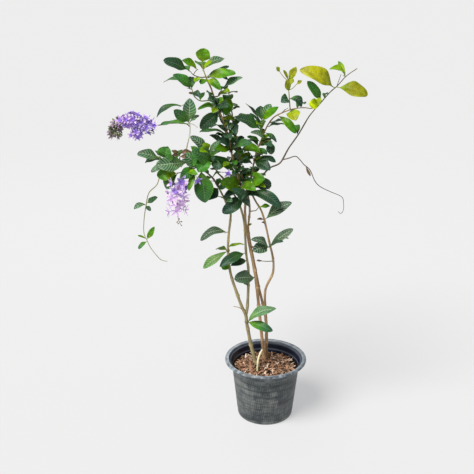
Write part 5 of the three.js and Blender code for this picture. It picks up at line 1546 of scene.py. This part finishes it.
def petal_finish():
    """Thin papery petals and calyx lobes with faint lengthwise lines."""
    make = Finish("floret_petal", Specular_IOR_Level=0.25, Sheen_Weight=0.3)
    tint = make.tint()
    lines = make.noise(make.scaled(make.mark(), 0.12, 3.0, 1.0), scale=1.6, detail=2.0)
    cloud = make.noise(make.place(), scale=140.0, detail=2.0)
    gain = make.maths("MULTIPLY", make.between(lines, 0.3, 0.7, 0.82, 1.2),
                      make.between(cloud, 0.3, 0.7, 0.85, 1.15))
    roughness = make.between(lines, 0.3, 0.7, 0.5, 0.7)
    colour_out = make.brightened(tint, gain)
    return make.done(colour_out, roughness, lines, depth=0.0003, strength=0.4)


def plastic_finish():
    """Weathered black plastic: dust in blotches, runs and bands, scuffs and painted glints on the rim's
    edges, a dull shine.
    """
    pot = bpy.context.scene.vine_pot
    make = Finish("pot_plastic", Specular_IOR_Level=0.4)
    tint = make.tint()
    dusty, wear_and_glint, _ = make.put("SeparateXYZ", make.mark()).outputs
    place = make.place()
    runs = make.noise(make.scaled(place, 1.0, 1.0, 0.16), scale=55.0, detail=4.0)
    bands = make.scaled(place, 0.35, 0.35, 2.2)
    bands = make.noise(bands, scale=26.0, detail=4.0, roughness=0.7)
    blotch = make.noise(place, scale=19.0, detail=6.0, roughness=0.75)
    speck = make.noise(place, scale=260.0, detail=3.0, roughness=0.7)
    fine = make.noise(place, scale=700.0, detail=3.0)
    dust = make.between(blotch, 0.36, 0.60)
    dust = make.maths("MULTIPLY", dust, make.between(runs, 0.3, 0.7, 0.4, 1.0))
    dust = make.maths("MULTIPLY", dust, make.between(bands, 0.38, 0.6, 0.25, 1.0))
    dust = make.maths("MULTIPLY_ADD", make.between(speck, 0.5, 0.7), 0.35, dust)
    dust = make.maths("MULTIPLY", dust, dusty)
    colour_out = make.brightened(tint, make.between(fine, 0.3, 0.7, 0.8, 1.2))
    colour_out = make.brightened(colour_out, make.between(bands, 0.35, 0.65, 0.62, 1.12))
    colour_out = make.mixed(make.maths("MULTIPLY", dust, 0.78), colour_out, opaque(pot.dust))
    # Painted highlights: pale mottles over the rim and mouth edge stand for glints of light as well as
    # for scuffs.
    glints_and_scuffs = make.noise(place, scale=62.0, detail=5.0, roughness=0.7)
    glints_and_scuffs = make.between(glints_and_scuffs, 0.44, 0.62)
    colour_out = make.mixed(make.maths("MULTIPLY", glints_and_scuffs, make.maths("MULTIPLY", wear_and_glint, 0.7)),
                            colour_out, opaque(pot.glint_and_scuff))
    roughness = make.between(dust, 0.0, 1.0, 0.36, 0.72)
    height = make.maths("MULTIPLY_ADD", fine, 0.5, blotch)
    return make.done(colour_out, roughness, height, depth=0.0005, strength=0.4)


def mix_finish(name, scale):
    """Bark, husk and crumb: each chip's own tint with grain and dark pits."""
    make = Finish(name, Specular_IOR_Level=0.2)
    tint = make.tint()
    grain = make.noise(make.mark(), scale, detail=5.0, roughness=0.7)
    fine = make.noise(make.place(), scale=600.0, detail=3.0)
    colour_out = make.brightened(tint, make.between(grain, 0.25, 0.75, 0.5, 1.5))
    height = make.maths("ADD", grain, make.maths("MULTIPLY", fine, 0.6))
    roughness = make.between(grain, 0.2, 0.8, 0.95, 0.78)
    return make.done(colour_out, roughness, height, depth=0.0012, strength=0.9)


def stage_finish():
    """Plain pale studio paper, lit a little from behind so that shadows on it stay light."""
    stage = bpy.context.scene.vine_stage
    make = Finish("studio_paper", Specular_IOR_Level=0.1, Roughness=0.9,
                  Emission_Color=opaque(GLOW_COLOUR), Emission_Strength=stage.glow)
    grain = make.noise(make.place(), scale=900.0, detail=2.0)
    grain = make.between(grain, 0.0, 1.0, 0.99, 1.01)
    return make.done(make.brightened(tuple(stage.paper), grain))


class StageSettings(PropertyGroup):
    paper: colour("Paper", "Pale studio paper of the floor", 151, 152, 155)
    glow: number("Glow", "Light that comes through the paper", 0.44)
    camera_distance: length("Camera distance", "From the pot's axis, along the floor", 2350)
    camera_height: length("Camera height", "Height of the camera over the floor", 1500)
    camera_side: FloatProperty(name="Camera side", description="How far right of the axis it stands",
                               unit="LENGTH", default=-92 * MM)
    camera_pitch: FloatProperty(name="Camera pitch", description="How far the camera looks down",
                                subtype="ANGLE", unit="ROTATION", default=math.radians(20.7))
    lens: number("Lens", "Focal length on a 36 mm sensor", 62.64, 1)
    sun: number("Sun", "Strength of the soft main light", 4.5)
    sky: number("Sky", "Strength of the light from all round", 0.25)
    back: number("Back light", "Power of the wide light above and behind, in watts", 8)


def grow_nodes(rows, seed, ending, materials, usual_slot, grow):
    """A piece for each node of the rows, whose skin grows from the node's stems one by one."""
    stems = grow_stems()
    for place, node in enumerate(dict.fromkeys(row[0] for row in rows)):
        draw = np.random.default_rng(seed + place)
        skin = Skin()
        for stem in stems:
            if stem["node"] == node:
                grow(skin, stem, draw)
        piece = skin.piece(f"{node}_{ending}", materials)
        finish_piece(piece, node, slot_of(node, usual_slot))


def grow_cane(skin, stem, draw):
    low, high = (shade(*tint) for tint in CANE_TINTS[stem["node"]])
    add_cane(skin, stem, low, high, CANE_SIDES, draw, True)


def grow_shoot(skin, stem, draw):
    settings = bpy.context.scene.vine_stems
    tint = SHOOT_TINTS.get(stem["node"])
    low = shade(*tint) if tint else tuple(settings.shoot)
    high = blend(low, settings.green_shoot, 0.0 if tint else 0.5)
    if "path" in stem:
        add_cane(skin, stem, low, high, SHOOT_SIDES, draw, False)
    elif len(stem["rest"][0]) > 1:
        add_joint(skin, stem, low)
    for share, *leaf in stem["rest"][0]:
        add_leaf(skin, place_on(stem, share), *leaf, draw)


def grow_raceme(skin, stem, draw):
    tint = shade(*SHOOT_TINTS[stem["node"]])
    add_cane(skin, stem, tint, tint, STALK_SIDES, draw, False)
    add_flowers(skin, stem, draw)


class VINE_OT_pot(Operator):
    """Builds the nursery pot over its solid"""

    bl_idname = "vine.pot"
    bl_label = "Pot"

    def execute(self, context):
        piece = pot_mesh(context.scene.vine_pot).piece("pot_shell", [plastic_finish()], 40)
        cutters = []
        for i in range(DRAIN_COUNT):
            angle = 2 * math.pi * (i + 0.5) / DRAIN_COUNT
            centre = np.array([DRAIN_CIRCLE * math.cos(angle), DRAIN_CIRCLE * math.sin(angle), 0])
            path = centre + np.array([0, 0, 1]) * np.linspace(-2 * FLOOR, 3 * FLOOR, 3)[:, None]
            drain = Skin()
            drain.tube(path, np.full(3, DRAIN_RADIUS), DRAIN_SIDES, context.scene.vine_pot.plastic)
            cutters.append(drain.piece(f"drain_cutter_{i + 1}", []))
        drilled(piece, cutters)
        finish_piece(piece, "pot", "pot_plastic")
        return {"FINISHED"}


class VINE_OT_mix(Operator):
    """Fills the pot with bark, husk and coir"""

    bl_idname = "vine.mix"
    bl_label = "Potting mix"

    def execute(self, context):
        settings = context.scene.vine_mix
        skin, edge = mix_skin(settings, context.scene.vine_pot)
        draw = np.random.default_rng(MIX_SEED)
        add_chips(skin, settings, edge, draw)
        add_fibres(skin, settings, edge, draw)
        materials = [mix_finish("mix_crumb", 2.0), mix_finish("mix_chip", 1.4)]
        piece = skin.piece("potting_mix_bark", materials, 35)
        finish_piece(piece, "potting_mix", "potting_mix")
        return {"FINISHED"}


class VINE_OT_canes(Operator):
    """Grows the woody canes and the old stub"""

    bl_idname = "vine.canes"
    bl_label = "Canes"

    def execute(self, context):
        bark = bark_finish()
        grow_nodes(CANES, CANE_SEED, "wood", [bark, bark], "cane_bark", grow_cane)
        return {"FINISHED"}


class VINE_OT_foliage(Operator):
    """Grows every leafy shoot, pair and runner with its leaves"""

    bl_idname = "vine.foliage"
    bl_label = "Foliage"

    def execute(self, context):
        materials = [leaf_finish(), shoot_finish()]
        grow_nodes(SHOOTS, SHOOT_SEED, "foliage", materials, "foliage", grow_shoot)
        draw = np.random.default_rng(AXIL_SEED)
        skin = Skin()
        for leaf in small_leaves(grow_stems(), draw):
            add_leaf(skin, *leaf, draw)
        piece = skin.piece("axil_leaves", materials)
        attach(piece, "root")
        return {"FINISHED"}


class VINE_OT_racemes(Operator):
    """Grows the racemes and the single florets"""

    bl_idname = "vine.racemes"
    bl_label = "Racemes"

    def execute(self, context):
        materials = [petal_finish(), shoot_finish()]
        grow_nodes(RACEMES, RACEME_SEED, "florets", materials, "flower", grow_raceme)
        return {"FINISHED"}


# The stage: sizes and places in metres, SUN_SPREAD in degrees.
FLOOR_RADIUS = 40.0
FLOOR_SIDES = 96
SUN_SPREAD = 34
SUN_TURN = (math.radians(24), math.radians(-31), 0)
SUN_COLOUR = (1.0, 0.965, 0.90)
BACK_LIGHT_SIZE = 2.0
BACK_LIGHT_PLACE = (-0.8, 2.2, 2.6)
BACK_LIGHT_COLOUR = (0.93, 0.97, 1.0)
CROWN = (0, 0, 0.9)
SKY_COLOUR = (0.98, 0.98, 0.96)
SENSOR_WIDTH = 36


def placed(name, data):
    """A new object of the scene that holds a mesh, a light or a camera."""
    made = bpy.data.objects.new(name, data)
    bpy.context.scene.collection.objects.link(made)
    return made


class VINE_OT_stage(Operator):
    """Sets up the pale studio floor, the lights and the camera"""

    bl_idname = "vine.stage"
    bl_label = "Stage"

    def execute(self, context):
        settings = context.scene.vine_stage
        edge = arc((0, 0), FLOOR_RADIUS, 0, 360, FLOOR_SIDES + 1)[:-1]
        mesh = bpy.data.meshes.new("studio_floor")
        mesh.from_pydata([(x, y, 0.0) for x, y in edge], [], [tuple(range(FLOOR_SIDES))])
        mesh.materials.append(stage_finish())
        floor = placed("studio_floor", mesh)
        sun = bpy.data.lights.new("main_light", "SUN")
        sun.energy = settings.sun
        sun.angle = math.radians(SUN_SPREAD)
        sun.color = SUN_COLOUR
        lamp = placed("main_light", sun)
        lamp.rotation_euler = SUN_TURN
        wide = bpy.data.lights.new("back_light", "AREA")
        wide.energy = settings.back
        wide.size = BACK_LIGHT_SIZE
        wide.color = BACK_LIGHT_COLOUR
        behind = placed("back_light", wide)
        behind.location = BACK_LIGHT_PLACE
        aim = Vector(CROWN) - behind.location
        behind.rotation_euler = aim.to_track_quat("-Z", "Y").to_euler()
        world = bpy.data.worlds.new("studio_sky")
        world.use_nodes = True
        sky = world.node_tree.nodes["Background"]
        sky.inputs["Color"].default_value = opaque(SKY_COLOUR)
        sky.inputs["Strength"].default_value = settings.sky
        context.scene.world = world
        camera = bpy.data.cameras.new("camera")
        camera.lens = settings.lens
        camera.sensor_width = SENSOR_WIDTH
        camera.clip_end = 2.5 * FLOOR_RADIUS
        eye = placed("camera", camera)
        eye.location = (settings.camera_side, -settings.camera_distance, settings.camera_height)
        eye.rotation_euler = (math.pi / 2 - settings.camera_pitch, 0, 0)
        context.scene.camera = eye
        context.scene.view_settings.view_transform = "Standard"
        return {"FINISHED"}


class VINE_PT_build(Panel):
    """Lists the steps that build the plant, in order"""

    bl_idname = "VINE_PT_build"
    bl_label = "Potted vine"
    bl_space_type = "VIEW_3D"
    bl_region_type = "UI"
    bl_category = "Vine"

    def draw(self, context):
        for step in STEPS:
            self.layout.operator(step.bl_idname)
        for name in GROUPS:
            group = getattr(context.scene, name)
            box = self.layout.box()
            for setting in group.bl_rna.properties:
                if setting.identifier not in ("rna_type", "name"):
                    box.prop(group, setting.identifier)


STEPS = (VINE_OT_stage, VINE_OT_pot, VINE_OT_mix, VINE_OT_canes, VINE_OT_foliage, VINE_OT_racemes)
GROUPS = {
    "vine_pot": PotSettings,
    "vine_mix": MixSettings,
    "vine_leaves": LeafSettings,
    "vine_stems": StemSettings,
    "vine_flowers": FlowerSettings,
    "vine_stage": StageSettings,
}


def register():
    for made in (*GROUPS.values(), *STEPS, VINE_PT_build):
        bpy.utils.register_class(made)
    for name, group in GROUPS.items():
        setattr(bpy.types.Scene, name, PointerProperty(type=group))


def unregister():
    for name in GROUPS:
        delattr(bpy.types.Scene, name)
    for made in (VINE_PT_build, *reversed(STEPS), *GROUPS.values()):
        bpy.utils.unregister_class(made)


def main():
    """Builds every piece in order."""
    register()
    bpy.ops.vine.stage()
    bpy.ops.vine.pot()
    bpy.ops.vine.mix()
    bpy.ops.vine.canes()
    bpy.ops.vine.foliage()
    bpy.ops.vine.racemes()
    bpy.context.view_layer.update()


if __name__ == "__main__":
    main()
